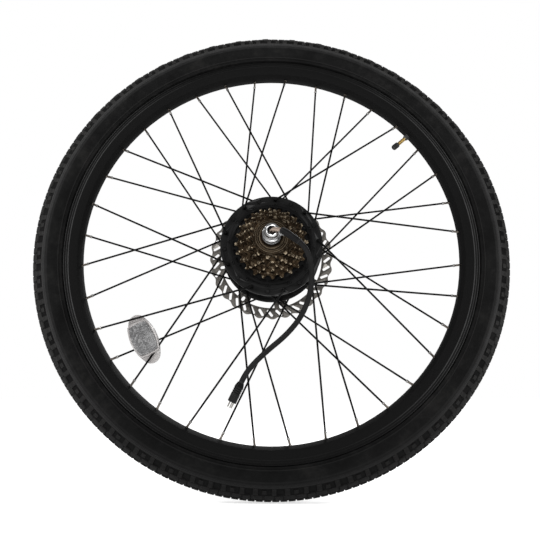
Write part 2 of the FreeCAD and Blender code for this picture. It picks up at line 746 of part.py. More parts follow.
# ---- reduction gears ----

def involute(angle):
    return math.tan(angle) - angle


def gear_corners(teeth, root, tip, thickening, phase):
    """The (radius, degrees) corners of a spur gear's outline with involute flanks."""
    pitch_radius = teeth / 2.0
    base_radius = pitch_radius * math.cos(PRESSURE_ANGLE)
    half_pitch = math.pi / (2 * teeth) + thickening / (2 * pitch_radius) + involute(PRESSURE_ANGLE)
    flank_start = max(root, base_radius)
    flank = [flank_start + (tip - flank_start) * i / 3.0 for i in range(4)]
    if root < base_radius:
        flank = [root] + flank
    half_angles = []
    for radius in flank:
        pressure = math.acos(min(1.0, base_radius / max(radius, base_radius)))
        half_angles.append(math.degrees(half_pitch - involute(pressure)))
    corners = []
    for tooth in range(teeth):
        middle = phase + tooth * 360.0 / teeth
        corners += [(r, middle - half) for r, half in zip(flank, half_angles)]
        corners += [(r, middle + half) for r, half in zip(reversed(flank), reversed(half_angles))]
    return corners


def make_sun_gear():
    """The sun gear, with the flange that bolts to the motor rotor."""
    start, end = GEAR_FACE
    radius = SUN_TEETH / 2.0
    corners = gear_corners(SUN_TEETH, radius - DEDENDUM, radius + ADDENDUM, -BACKLASH, 90.0)
    gear = polygon_plate(corners, start, end)
    neck = tube(0, 7.7, end, -4.8)
    flange = tube(0, 14.0, -4.8, -3.05)
    bore = tube(0, AXLE_RADIUS + 0.4, start - 1, 0)
    return gear.fuse(neck).fuse(flange).cut(bore)


def make_planet(angle):
    """One planet gear. A gap between its teeth faces the sun."""
    start, end = GEAR_FACE
    radius = PLANET_TEETH / 2.0
    phase = angle + 180.0 + 180.0 / PLANET_TEETH
    corners = gear_corners(PLANET_TEETH, radius - DEDENDUM, radius + ADDENDUM, -BACKLASH, phase)
    gear = polygon_plate(corners, start, end)
    bore = tube(0, PLANET_PIN_RADIUS + PLANET_PIN_GAP, start - 1, end + 1)
    hole = rod(PLANET_HOLE_RADIUS, at(PLANET_HOLE_CIRCLE, start - 1, 0), at(PLANET_HOLE_CIRCLE, end + 1, 0))
    lightening = repeated(hole, 6)
    gear = gear.cut(Part.makeCompound([bore] + lightening))
    gear.translate(at((SUN_TEETH + PLANET_TEETH) / 2.0, 0, angle))
    return gear


def make_ring_gear():
    """The internal ring gear, pressed into the drum. One of its teeth points at the first planet."""
    start, end = GEAR_FACE
    radius = RING_TEETH / 2.0
    phase = 90.0 + 180.0 / RING_TEETH
    corners = gear_corners(RING_TEETH, radius - ADDENDUM, radius + DEDENDUM, BACKLASH, phase)
    gaps = polygon_plate(corners, start - 1, end + 1)
    return tube(0, DRUM_BORE - FIT_GAP, start, end).cut(gaps)


def make_carrier():
    """The fixed planet carrier plate and its three pins."""
    distance = (SUN_TEETH + PLANET_TEETH) / 2.0
    start, end = CARRIER_FACE
    foot_radius = PLANET_PIN_RADIUS - 1
    plate_ring = tube(AXLE_RADIUS + FIT_GAP, CARRIER_RADIUS, start, end)
    hub = tube(AXLE_RADIUS + FIT_GAP, CARRIER_HUB_RADIUS, CARRIER_HUB_START, start)
    holes = [rod(foot_radius, at(distance, start - 1, a), at(distance, end + 1, a)) for a in PLANET_ANGLES]
    carrier = plate_ring.fuse(hub).cut(Part.makeCompound(holes))
    pins = []
    for angle in PLANET_ANGLES:
        shank_start = at(distance, end + FIT_GAP, angle)
        foot = rod(foot_radius - FIT_GAP, at(distance, start, angle), shank_start)
        shank_end = at(distance, GEAR_FACE[1] + 1, angle)
        shank = rod(PLANET_PIN_RADIUS, shank_start, shank_end)
        pins.append(foot.fuse(shank))
    return carrier, pins


# ---- electric motor ----

def make_rotor_can():
    """The steel can that carries the magnets round the outside of the stator."""
    profile = [
        (12.0, -3.0),
        (ROTOR_RADIUS, -3.0),
        (ROTOR_RADIUS, 25.0),
        (47.5, 25.0),
        (47.5, 0.0),
        (15.0, 0.0),
        (15.0, 9.2),
        (12.0, 9.2),
    ]
    vents = repeated(rod(5.0, at(32.0, -4, 0), at(32.0, 1, 0)), 6)
    return lathe(profile).cut(Part.makeCompound(vents))


def make_magnets():
    inner, outer = MAGNET_RADII
    half_angle = 180.0 / MAGNET_COUNT - 0.6
    return repeated(sector(inner, outer, half_angle, 4.0, 24.0), MAGNET_COUNT)


def make_stator_core():
    """The laminated iron: a back ring and T-shaped teeth."""
    start, end = STATOR_FACE
    back = tube(STATOR_BORE, 31.0, start, end)
    tooth = radial_block(30.0, 42.0, 2.5, start, end)
    shoe = sector(41.5, STATOR_RADIUS, 8.2, start, end)
    teeth = repeated(tooth.fuse(shoe), STATOR_TEETH)
    return back.multiFuse(teeth)


def make_coils():
    """One copper winding round each stator tooth."""
    start, end = STATOR_FACE
    outside = radial_block(32.0, 41.0, 4.6, start - COIL_OVERHANG, end + COIL_OVERHANG)
    inside = radial_block(31.0, 42.0, 2.6, start - 0.1, end + 0.1)
    return repeated(outside.cut(inside), STATOR_TEETH)


def make_stator_hub():
    """The spider that holds the stator on the axle."""
    start, end = STATOR_FACE
    bore = AXLE_SHOULDER_RADIUS + FIT_GAP
    profile = [
        (bore, 10.5),
        (12.0, 10.5),
        (12.0, 13.0),
        (21.0, 13.0),
        (21.0, start),
        (STATOR_BORE - FIT_GAP, start),
        (STATOR_BORE - FIT_GAP, end),
        (21.0, end),
        (21.0, 17.0),
        (12.0, 17.0),
        (12.0, 24.0),
        (bore, 24.0),
    ]
    return lathe(profile)


def make_sensor_board():
    """The curved board that holds the three position sensors."""
    board = sector(24.5, 40.0, 50.0, 25.0, 26.5)
    for angle in (-20.0, 0.0, 20.0):
        board = board.fuse(turned(radial_block(35.0, 39.0, 2.0, 26.5, 28.0), angle))
    return turned(board, 270.0)


# ---- freewheel, sprockets and spoke protector ----

def make_freewheel_core():
    """The inner half of the freewheel. It screws onto the cover's spigot and holds the pawls."""
    profile = [
        (SPIGOT_RADIUS + FIT_GAP, -26.2),
        (FREEWHEEL_CORE_RADIUS, -26.2),
        (FREEWHEEL_CORE_RADIUS, -60.0),
        (14.5, -60.0),
        (14.5, -41.5),
        (SPIGOT_RADIUS + FIT_GAP, -41.5),
    ]
    pocket = Part.makeBox(*PAWL_POCKET_SIZE, Vector(*PAWL_POCKET_CORNER))
    notch = radial_block(13.0, 15.8, 1.5, -62.0, -52.0)
    cuts = repeated(pocket, PAWLS) + repeated(notch, SPANNER_NOTCHES)
    cuts += [make_ball_groove(y) for y in FREEWHEEL_BALL_ROWS]
    return lathe(profile).cut(Part.makeCompound(cuts))


def make_ball_groove(y):
    """The ring-shaped space that one row of freewheel balls runs in."""
    return Part.makeTorus(FREEWHEEL_BALL_CIRCLE, FREEWHEEL_BALL_RADIUS + BALL_GAP, Vector(0, y, 0), AXIS)


def make_freewheel_balls():
    balls = []
    for y in FREEWHEEL_BALL_ROWS:
        ball = Part.makeSphere(FREEWHEEL_BALL_RADIUS, at(FREEWHEEL_BALL_CIRCLE, y, 0))
        balls += repeated(ball, FREEWHEEL_BALL_COUNT)
    return balls


def make_pawls():
    """The two spring pawls, folded down as they are while the wheel overruns the chain."""
    pawl = Part.makeBox(*PAWL_SIZE, Vector(*PAWL_CORNER))
    return repeated(pawl.common(tube(0, PAWL_TOP_RADIUS, *FREEWHEEL_FACE)), PAWLS)


def make_freewheel_body():
    """The outer half of the freewheel, with ratchet teeth cut inside it."""
    body = tube(FREEWHEEL_BORE, FREEWHEEL_RADIUS, *FREEWHEEL_FACE)
    corners = []
    for tooth in range(RATCHET_TEETH):
        angle = tooth * 360.0 / RATCHET_TEETH
        corners.append((FREEWHEEL_BORE, angle))
        corners.append((FREEWHEEL_BORE + RATCHET_DEPTH, angle + 1.0))
        corners.append((FREEWHEEL_BORE + RATCHET_DEPTH, angle + 8.0))
    ratchet = polygon_plate(corners, -50.0, -42.0)
    shoulder = tube(FREEWHEEL_RADIUS - 1, 27.0, FREEWHEEL_FACE[1] - 0.9, FREEWHEEL_FACE[1])
    cuts = [ratchet] + [make_ball_groove(y) for y in FREEWHEEL_BALL_ROWS]
    return body.fuse(shoulder).cut(Part.makeCompound(cuts))


def make_lockring():
    """The ring that closes the freewheel's bearing."""
    ring = tube(15.9, FREEWHEEL_BORE + 1.2, -62.2, -60.7)
    neck = tube(15.9, FREEWHEEL_CORE_RADIUS - 1.0, -60.7, -60.02)
    return ring.fuse(neck)


def roller_seat(pitch_radius, y, angle):
    """The start, bottom and end of one round seat between two teeth."""
    roller = at(pitch_radius, y, angle)
    inward = at(-ROLLER_RADIUS, 0, angle)
    sideways = at(ROLLER_RADIUS, 0, angle + 90.0)
    low = inward * math.cos(SEAT_HALF_ANGLE)
    across = sideways * math.sin(SEAT_HALF_ANGLE)
    return roller + low - across, roller + inward, roller + low + across


def make_sprocket(teeth, y):
    """One chain sprocket: round roller seats and blunt teeth. A tooth or a gap points down."""
    pitch_radius = CHAIN_PITCH / (2 * math.sin(math.pi / teeth))
    tip_radius = pitch_radius + TOOTH_HEIGHT
    tip_angle = math.degrees(TOOTH_TIP_HALF_WIDTH / tip_radius)
    start = y - SPROCKET_THICKNESS / 2
    end = y + SPROCKET_THICKNESS / 2
    step = 360.0 / teeth
    edges = []
    for gap in range(teeth):
        angle = gap * step
        seat_start, seat_bottom, seat_end = roller_seat(pitch_radius, start, angle)
        next_start = roller_seat(pitch_radius, start, angle + step)[0]
        tip_start = at(tip_radius, start, angle + step / 2 - tip_angle)
        tip_end = at(tip_radius, start, angle + step / 2 + tip_angle)
        edges.append(Part.Arc(seat_start, seat_bottom, seat_end).toShape())
        edges.append(Part.makeLine(seat_end, tip_start))
        edges.append(Part.makeLine(tip_start, tip_end))
        edges.append(Part.makeLine(tip_end, next_start))
    bore = tube(0, FREEWHEEL_RADIUS + FIT_GAP, start - 1, end + 1)
    gap_down = SPROCKET_TEETH.index(teeth) % 2
    return turned(plate(edges, start, end).cut(bore), TOOTH_DOWN + step / 2 * (1 - gap_down))


def make_sprocket_spacers():
    """The rings that keep the sprockets apart."""
    spacers = []
    for gap in range(len(SPROCKET_TEETH) - 1):
        near = FIRST_SPROCKET - gap * SPROCKET_PITCH - SPROCKET_THICKNESS / 2 - FIT_GAP
        far = near - SPROCKET_PITCH + SPROCKET_THICKNESS + 2 * FIT_GAP
        outer = 25.0 if gap == len(SPROCKET_TEETH) - 2 else 26.5
        spacers.append(tube(FREEWHEEL_RADIUS + FIT_GAP, outer, far, near))
    return spacers


def make_protector():
    """The slotted plastic disc that keeps the chain off the spokes."""
    start, end = PROTECTOR_FACE
    disc = tube(SPIGOT_RADIUS + FIT_GAP, PROTECTOR_RADIUS, start, end)
    length, width = PROTECTOR_SLOT_SIZE
    slot = placed(slot_plate(length, width, start - 1, end + 1), 90.0, at(PROTECTOR_SLOT_CIRCLE, 0, 0))
    return disc.cut(Part.makeCompound(repeated(slot, PROTECTOR_SLOTS)))


# ---- brake disc ----

def disc_slot(size, slant, radius):
    """A round-ended cutter through the disc, at +X, slanted from the radial direction."""
    length, width = size
    cutter = slot_plate(length, width, BOSS_FACE - 1, BOSS_FACE + DISC_THICKNESS + 1)
    return placed(cutter, slant, at(radius, 0, 0))


def make_brake_disc():
    """The wavy brake disc: slotted track, slanted arms and a six-bolt centre."""
    start = BOSS_FACE
    end = BOSS_FACE + DISC_THICKNESS
    edges = []
    step = 360.0 / DISC_LOBES
    for lobe in range(DISC_LOBES):
        angle = DISC_TURN + lobe * step
        first = at(DISC_RADIUS, start, angle - step / 4)
        crest = at(DISC_RADIUS + DISC_WAVE, start, angle)
        middle = at(DISC_RADIUS, start, angle + step / 4)
        trough = at(DISC_RADIUS - DISC_WAVE, start, angle + step / 2)
        last = at(DISC_RADIUS, start, angle + 3 * step / 4)
        edges.append(Part.Arc(first, crest, middle).toShape())
        edges.append(Part.Arc(middle, trough, last).toShape())
    track = plate(edges, start, end).cut(tube(0, DISC_TRACK_RADIUS, start - 1, end + 1))
    arm = polygon_plate([(26.0, -14.0), (26.0, 10.0), (76.0, 8.5), (76.0, -6.5)], start, end)
    centre = tube(0, DISC_CENTRE_RADIUS, start, end)
    disc = track.multiFuse([centre] + repeated(arm, DISC_ARMS, DISC_ARM_START))
    slot = disc_slot(DISC_SLOT_SIZE, DISC_SLOT_SLANT, DISC_SLOT_CIRCLE)
    arm_window = disc_slot(ARM_WINDOW_SIZE, 0.0, ARM_WINDOW_CIRCLE)
    slim_window = disc_slot(SLIM_WINDOW_SIZE, -2.0, SLIM_WINDOW_CIRCLE)
    bolt_hole = rod(BOLT_CLEARANCE_RADIUS, at(BOLT_CIRCLE, start - 1, 0), at(BOLT_CIRCLE, end + 1, 0))
    cuts = repeated(slot, DISC_SLOTS, DISC_SLOT_START)
    cuts += repeated(arm_window, DISC_ARMS, DISC_ARM_START + 0.6)
    cuts += repeated(slim_window, DISC_ARMS, DISC_ARM_START - 0.4)
    cuts += repeated(bolt_hole, BOLT_COUNT)
    cuts.append(tube(0, DISC_BORE_RADIUS, start - 1, end + 1))
    return disc.cut(Part.makeCompound(cuts))


def make_disc_bolts():
    """Button-head bolts with a socket."""
    face = BOSS_FACE + DISC_THICKNESS
    top = face + BOLT_HEAD_HEIGHT
    floor = face + BOLT_SOCKET_FLOOR
    head = rod(BOLT_HEAD_RADIUS, at(BOLT_CIRCLE, face + FIT_GAP, 0), at(BOLT_CIRCLE, top, 0))
    shank = rod(BOLT_RADIUS, at(BOLT_CIRCLE, BOLT_END, 0), at(BOLT_CIRCLE, floor, 0))
    socket = rod(BOLT_SOCKET_RADIUS, at(BOLT_CIRCLE, floor, 0), at(BOLT_CIRCLE, top + 1, 0))
    return repeated(head.fuse(shank).cut(socket), BOLT_COUNT)


# ---- reflector ----

def make_reflector():
    """The reflector's body with thin end tabs behind two spokes, and its front lens."""
    tilt = math.degrees(math.atan2(REFLECTOR_DIRECTION.z, REFLECTOR_DIRECTION.x))
    tabs = barrel_plate(REFLECTOR_OUTLINE, REFLECTOR_TAB_FACE, REFLECTOR_BACK)
    holder = barrel_plate(HOLDER_OUTLINE, HOLDER_FACE, REFLECTOR_BACK - FIT_GAP)
    recess = barrel_plate(RECESS_OUTLINE, LENS_FACE - 1, LENS_BACK + FIT_GAP)
    lens = barrel_plate(LENS_OUTLINE, LENS_FACE, LENS_BACK)
    body = placed(tabs.fuse(holder).cut(recess), tilt, REFLECTOR_CENTRE)
    lens = placed(lens, tilt, REFLECTOR_CENTRE)
    for side, lead, nipple_angle, hub_angle in spoke_lines():
        if side > 0:
            continue
        elbow, _, _, rim_point = spoke_ends(side, lead, nipple_angle, hub_angle)
        channel = turned(rod(SPOKE_RADIUS + 0.1, elbow, rim_point), REFLECTOR_SPOKES_TURN)
        body = body.cut(channel)
        lens = lens.cut(channel)
    return body, lens


# ---- motor cable ----

def bent_path(points):
    """A wire of straight runs joined by arcs as large as the runs allow, with the arc radii."""
    corners = [Vector(p) for p in points]
    edges = []
    radii = []
    start = corners[0]
    for before, corner, after in zip(corners, corners[1:], corners[2:]):
        into = corner - before
        out = after - corner
        half_turn = into.getAngle(out) / 2
        setback = 0.45 * min(into.Length, out.Length)
        radius = setback / math.tan(half_turn)
        into.normalize()
        out.normalize()
        first = corner - into * setback
        last = corner + out * setback
        inward = (out - into).normalize()
        depth = radius / math.cos(half_turn) - radius
        edges.append(Part.LineSegment(start, first).toShape())
        edges.append(Part.Arc(first, corner + inward * depth, last).toShape())
        radii.append(radius)
        start = last
    edges.append(Part.LineSegment(start, corners[-1]).toShape())
    return Part.Wire(edges), radii


def round_tube(path, radius):
    """A solid round tube along a path."""
    first = path.Edges[0]
    start = first.valueAt(first.FirstParameter)
    along = first.tangentAt(first.FirstParameter)
    circle = Part.Wire(Part.makeCircle(radius, start, along))
    return upright(path.makePipeShell([circle], True, False))


def make_cable():
    """The jacketed cable. It reports its bends and compares its volume with section times length."""
    path, radii = bent_path(CABLE_ROUTE)
    cable = round_tube(path, CABLE_RADIUS)
    ratio = cable.Volume / (math.pi * CABLE_RADIUS ** 2 * path.Length)
    print("cable arc radii", [round(r, 1) for r in radii])
    print("cable length", round(path.Length, 1), "volume ratio", round(ratio, 4))
    return cable


def make_boot(cable):
    """The thicker sleeve over the first straight run and first bend of the jacket."""
    path, _ = bent_path(CABLE_ROUTE[:3])
    sleeve = round_tube(Part.Wire(path.Edges[:2]), BOOT_RADIUS)
    return sleeve.cut(cable)


def make_wires():
    """The phase wires, from the stator through the axle's bore to the cable jacket."""
    bend = Vector(*WIRE_ROUTE[0])
    end = Vector(*WIRE_ROUTE[1])
    into = Vector(0, -1, 0)
    out = (end - bend).normalize()
    across = (out - into * out.dot(into)).normalize()
    up = into.cross(across)
    across_after = out.cross(up) * -1.0
    spread = (into + out).Length ** 2 / 2.0
    wires = []
    for number in range(WIRE_COUNT):
        angle = math.radians(90.0 + 360.0 * number / WIRE_COUNT)
        a = WIRE_CIRCLE * math.cos(angle)
        b = WIRE_CIRCLE * math.sin(angle)
        start_point = Vector(0, AXLE_BORE_END - 1, 0) + across * a + up * b
        bend_point = bend + (across + across_after) * (a / spread) + up * b
        end_point = end + across_after * a + up * b
        path, _ = bent_path([start_point, bend_point, end_point])
        wires.append(round_tube(path, WIRE_RADIUS))
    return wires


def make_plug():
    """The round plug on the cable's end, and its pins."""
    end = Vector(*CABLE_ROUTE[-1])
    along = (end - Vector(*CABLE_ROUTE[-2])).normalize()
    neck = Part.makeCone(PLUG_NECK_RADIUS, PLUG_RADIUS, PLUG_NECK_LENGTH, end, along)
    barrel_end = end + along * PLUG_LENGTH
    barrel = rod(PLUG_RADIUS, end + along * PLUG_NECK_LENGTH, barrel_end)
    body = neck.fuse(barrel)
    for distance in PLUG_GROOVES:
        groove_start = end + along * distance
        groove_end = end + along * (distance + 1.0)
        groove = rod(PLUG_RADIUS + 1, groove_start, groove_end)
        body = body.cut(groove.cut(rod(PLUG_RADIUS - PLUG_GROOVE_DEPTH, groove_start, groove_end)))
    side = along.cross(AXIS).normalize()
    lift = along.cross(side)
    sockets = []
    pins = []
    for number in range(PIN_COUNT):
        angle = math.radians(360.0 * number / PIN_COUNT)
        offset = (side * math.cos(angle) + lift * math.sin(angle)) * PIN_CIRCLE
        foot = barrel_end + offset - along * PIN_ROOT
        sockets.append(rod(PIN_RADIUS + FIT_GAP, foot, barrel_end + offset + along))
        pins.append(rod(PIN_RADIUS, foot, barrel_end + offset + along * PIN_LENGTH))
    return body.cut(Part.makeCompound(sockets)), pins


# ---- files ----

def save_wheel():
    """Tyre, rim, spokes, valve and reflector."""
    spokes, nipples, holes = make_lacing()
    stem, cap = make_valve()
    body, lens = make_reflector()
    save("tyre", make_tyre())
    save("inner_tube", make_inner_tube())
    save("rim", make_rim(holes))
    save("rim_tape", make_rim_tape())
    save("spokes_drive", *spokes[-1])
    save("spokes_left", *spokes[1])
    save("nipples", *nipples)
    save("valve_stem", stem)
    save("valve_cap", cap)
    save("reflector_body", body)
    save("reflector_lens", lens)


def save_hub():
    """Hub shell, cover, bearings, seals and brake disc."""
    save("hub_shell", make_hub_shell())
    save("drive_cover", make_drive_cover())
    save("cover_screws", *make_cover_screws())
    save("hub_seals", *make_seals())
    save("brake_disc", make_brake_disc())
    save("brake_disc_bolts", *make_disc_bolts())
    drive_inner, drive_outer, drive_balls = make_bearing(DRIVE_BEARING)
    left_inner, left_outer, left_balls = make_bearing(LEFT_BEARING)
    inner_a, outer_a, balls_a = make_bearing(ROTOR_BEARING_A)
    inner_b, outer_b, balls_b = make_bearing(ROTOR_BEARING_B)
    save("hub_bearing_inner_races", drive_inner, left_inner)
    save("hub_bearing_outer_races", drive_outer, left_outer)
    save("rotor_bearing_inner_races", inner_a, inner_b)
    save("rotor_bearing_outer_races", outer_a, outer_b)
    save("bearing_balls", *(drive_balls + left_balls + balls_a + balls_b))


def save_axle():
    """Axle, spacers, washers and nuts."""
    drive_spacer, left_spacer = make_spacers()
    save("axle", make_axle())
    save("axle_spacer_drive", drive_spacer)
    save("axle_spacer_left", left_spacer)
    save("tab_washers", make_washer(-1), make_washer(1))
    save("axle_nut_drive", make_drive_nut())
    save("axle_nut_left", make_left_nut())


def save_motor():
    """Stator, rotor and reduction gears."""
    carrier, pins = make_carrier()
    save("stator_hub", make_stator_hub())
    save("stator_core", make_stator_core())
    save("stator_coils", *make_coils())
    save("hall_sensor_board", make_sensor_board())
    save("rotor_can", make_rotor_can())
    save("rotor_magnets", *make_magnets())
    save("sun_gear", make_sun_gear())
    save("planet_carrier", carrier)
    save("planet_pins", *pins)
    save("ring_gear", make_ring_gear())
    for number, angle in enumerate(PLANET_ANGLES, 1):
        save("planet_gear_" + str(number), make_planet(angle))


def save_freewheel():
    """Freewheel, sprockets and spoke protector."""
    save("freewheel_core", make_freewheel_core())
    save("freewheel_body", make_freewheel_body())
    save("freewheel_lockring", make_lockring())
    save("freewheel_balls", *make_freewheel_balls())
    save("freewheel_pawls", *make_pawls())
    save("sprocket_spacers", *make_sprocket_spacers())
    save("spoke_protector", make_protector())
    for number, teeth in enumerate(SPROCKET_TEETH):
        save("sprocket_" + str(teeth) + "t", make_sprocket(teeth, FIRST_SPROCKET - number * SPROCKET_PITCH))


def save_cable():
    """Wires, boot, jacket and plug."""
    cable = make_cable()
    plug, pins = make_plug()
    save("phase_wires", *make_wires())
    save("cable_boot", make_boot(cable))
    save("motor_cable", cable)
    save("plug_body", plug)
    save("plug_pins", *pins)


def main():
    os.makedirs("parts", exist_ok=True)
    save_wheel()
    save_hub()
    save_axle()
    save_motor()
    save_freewheel()
    save_cable()


main()
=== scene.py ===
"""Looks of a spoked bicycle wheel with a geared hub motor. Metres, in the frame of the CAD model.

The axle lies along Y, with the chain side at -Y. Angles round the wheel are degrees
anticlockwise from +X, seen from the chain side.
"""
import json
import math

import bmesh
import bpy
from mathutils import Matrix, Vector

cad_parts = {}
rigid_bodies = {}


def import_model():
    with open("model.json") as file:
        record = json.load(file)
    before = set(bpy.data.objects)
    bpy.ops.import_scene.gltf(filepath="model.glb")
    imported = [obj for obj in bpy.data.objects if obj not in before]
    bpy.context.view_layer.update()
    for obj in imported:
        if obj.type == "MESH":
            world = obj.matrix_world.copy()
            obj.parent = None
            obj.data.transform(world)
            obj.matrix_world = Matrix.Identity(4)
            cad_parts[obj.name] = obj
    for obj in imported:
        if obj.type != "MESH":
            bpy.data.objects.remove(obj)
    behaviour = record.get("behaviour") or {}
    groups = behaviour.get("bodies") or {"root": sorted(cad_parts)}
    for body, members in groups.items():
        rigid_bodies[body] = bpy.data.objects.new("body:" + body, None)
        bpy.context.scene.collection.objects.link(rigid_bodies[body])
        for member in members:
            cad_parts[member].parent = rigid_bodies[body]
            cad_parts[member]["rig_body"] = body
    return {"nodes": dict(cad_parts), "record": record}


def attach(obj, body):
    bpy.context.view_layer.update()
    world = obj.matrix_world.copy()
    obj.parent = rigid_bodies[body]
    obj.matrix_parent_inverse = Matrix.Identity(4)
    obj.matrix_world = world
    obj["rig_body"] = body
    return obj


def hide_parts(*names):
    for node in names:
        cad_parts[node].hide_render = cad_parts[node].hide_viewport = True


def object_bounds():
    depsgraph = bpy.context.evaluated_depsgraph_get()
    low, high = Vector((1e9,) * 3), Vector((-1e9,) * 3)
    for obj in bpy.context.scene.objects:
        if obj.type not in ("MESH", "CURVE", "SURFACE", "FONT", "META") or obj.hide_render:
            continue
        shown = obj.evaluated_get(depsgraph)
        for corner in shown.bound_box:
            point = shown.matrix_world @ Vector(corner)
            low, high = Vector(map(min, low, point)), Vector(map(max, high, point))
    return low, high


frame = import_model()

CAD_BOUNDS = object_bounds()
MM = 0.001

# Tyre: the circle of its section's centres, depths measured from it, and the tread's blocks
TYRE_CENTRE = 305.5 * MM
TYRE_CAVITY = 21.5 * MM
TREAD_TOP = 24.95 * MM
TREAD_BASE = 22.8 * MM
TREAD_REPEATS = 50
LOW_BLOCK = 0.9 * MM
BLOCK_ROOT = 0.8 * MM
BLOCK_EDGE = 0.35 * MM
BLOCK_SHARES = (1.12, 1.0, 0.86)
BLOCK_COLUMNS = 4
ROUND_STEPS = 360

# The carcass from its crown to the rim's lip: angle on the section in degrees, depth in millimetres
CARCASS_OUTLINE = [
    (0.0, 23.6), (26.0, 23.4), (50.0, 23.2), (53.0, 22.7), (74.0, 22.7), (75.5, 24.6), (80.0, 24.6),
    (81.5, 24.1), (84.0, 24.1), (85.0, 24.4), (87.0, 24.4), (88.0, 24.1), (100.0, 24.2), (124.0, 24.3),
    (125.5, 24.75), (128.0, 24.75), (129.5, 24.2), (132.0, 24.1), (137.0, 24.9),
]
CARCASS_STEP = 5.0
# The bead inside the rim: (radius, y) in millimetres
BEAD_OUTLINE = [(286.8, 10.8), (279.6, 10.0), (279.6, 7.9)]
CAVITY_ANGLES = range(155, 0, -10)

# Rim: on each side, a band of fine slanted ribs and two raised lines
RIM_SIDE = 13.0 * MM
RIM_EDGE = 286.0 * MM
BAND_INNER = 280.2 * MM
BAND_OUTER = 285.4 * MM
BAND_RIBS = 760
# One rib: millimetres out from the rim's side, its width there as a share, and two angles in degrees
BAND_RIB_SPAN = (-0.1, 0.24)
BAND_RIB_SHARES = (1.0, 0.45)
BAND_RIB_HALF_WIDTH = 0.085
BAND_RIB_LEAN = 0.42
# The raised lines: where they run, and their outline as (across, out) in millimetres
LINE_RADII = (BAND_INNER - 0.9 * MM, RIM_EDGE - 0.3 * MM)
LINE_OUTLINE = [(-0.45, -0.2), (-0.2, 0.35), (0.2, 0.35), (0.3, -0.2)]

# Spokes and nipples. Lacing angles are degrees; flange faces, elbows and the nipple are millimetres
SPOKES = 36
LACING_START = 5.3
LACING_LEAD = 40.0
HOLE_CIRCLE = 64.3 * MM
RIM_WALL = 265.3 * MM
DRIVE_FLANGE = (-22.0, -17.5)
LEFT_FLANGE = (32.0, 27.5)
RIM_HOLE_OFFSET = 2.0 * MM
OUTSIDE_ELBOW = 2.85
INSIDE_ELBOW = 1.65
NIPPLE_LENGTH = 11.5
NIPPLE_OUTLINE = [
    (1.4, 0.0), (1.85, 0.25), (1.95, 1.2), (1.95, 2.6), (1.62, 3.0), (1.62, 8.6), (1.95, 9.0),
    (1.95, 13.8), (3.05, 14.0), (3.05, 15.6), (2.5, 16.6), (1.4, 16.8),
]
NIPPLE_STEPS = 16
WRENCH_FLAT = 1.45 * MM
WRENCH_SPAN = (2.9 * MM, 8.7 * MM)
NIPPLE_SKIN = 1.5 * MM

# Valve: (radius, height from its foot) in millimetres
VALVE_ANGLE = 40.7
VALVE_FOOT = 262.0 * MM
STEM_FOOT = [(0.4, -2.0), (2.6, -2.0), (2.6, 3.4), (2.72, 3.6), (2.72, 5.0), (2.4, 5.2)]
STEM_TIP = [(2.3, 23.2), (1.6, 24.0), (0.4, 24.0)]
THREAD_START = 5.4
THREAD_TURNS = 14
THREAD_PITCH = 1.25
THREAD_ROOT = 2.30
THREAD_CREST = 2.72
VALVE_ROOT = [(2.62, -22.0), (3.95, -22.0), (3.95, 0.0), (3.9, 2.2), (3.4, 3.3), (2.62, 3.5)]
CAP_RIBS = 18
CAP_STEPS_PER_RIB = 4
# Rings of the cap: height, radius and depth of the ribs
CAP_RINGS = [
    (17.5, 2.9, 0.0), (17.5, 3.8, 0.0), (18.0, 3.85, 0.15), (25.0, 3.85, 0.15), (25.9, 3.7, 0.05),
    (26.6, 3.2, 0.0), (26.95, 2.2, 0.0), (27.0, 0.3, 0.0),
]

# Reflector. The lens's half sizes and the prisms' pitch are millimetres
REFLECTOR_CENTRE = Vector((-170.7, -8.0, -125.8)) * MM
REFLECTOR_TILT = math.atan2(-0.891, 0.4535)
LENS_HALF_LENGTH = 19.6
LENS_HALF_WIDTH = (14.8, 3.6)
PRISM_PITCH = 1.5
PRISM_SHARE = 0.54
PRISM_SIDES = 6
PRISM_FOOT_Y = -12.46 * MM
PRISM_TIP_Y = -12.9 * MM

# Cable: the same points as in the CAD model
CABLE_RADIUS = 3.25 * MM
BOOT_LENGTH = 30.5 * MM
BOOT_RADIUS = 4.2 * MM
BOOT_ROUNDING = 0.25 * MM
BOOT_TAPER = 0.5 * MM
TAPER_START = 0.75
CABLE_ROUTE = [
    (0.012, -0.100, -0.003),
    (0.0275, -0.108, -0.015),
    (0.0427, -0.111, -0.0308),
    (0.0482, -0.111, -0.0568),
    (0.0452, -0.108, -0.0848),
    (0.0352, -0.1045, -0.1098),
    (0.0172, -0.101, -0.1313),
    (-0.0058, -0.098, -0.1498),
    (-0.0203, -0.0965, -0.1633),
    (-0.0303, -0.0955, -0.1753),
    (-0.0354, -0.095, -0.1858),
]

# Centre of the hub: (radius, y) in millimetres
LOCKRING_FACE = -62.2
LOCKRING_RIBS = (16.4, 18.6, 20.9)
LOCKRING_RIB_OUTLINE = [(-0.6, 0.1), (-0.15, -0.5), (0.15, -0.5), (0.6, 0.1)]
DUST_RING = [
    (9.6, -61.0), (9.6, -61.5), (12.0, -61.9), (14.2, -61.5),
    (15.8, -61.5), (15.8, -60.05), (14.7, -60.05), (14.7, -61.0),
]
# The grommet: dark rubber in the axle's mouth that also stands in for the shade inside the hollow end
GROMMET_AND_MOUTH_SHADE = [(3.7, -86.55), (5.45, -86.55), (5.45, -90.6), (5.2, -90.6), (5.2, -87.4), (3.7, -87.4)]
SPROCKET_TEETH = (24, 22, 20, 18, 16, 14)

# Camera and stage
CAMERA_PLACE = (-0.00206, -0.7341, -0.20266)
CAMERA_UPWARD = 13.25
CAMERA_LENS = 36.2
CAMERA_SENSOR = 36.0
CAMERA_NEAREST = 0.01
FLOOR_GAP = 0.0006
FLOOR_REACH = 40.0
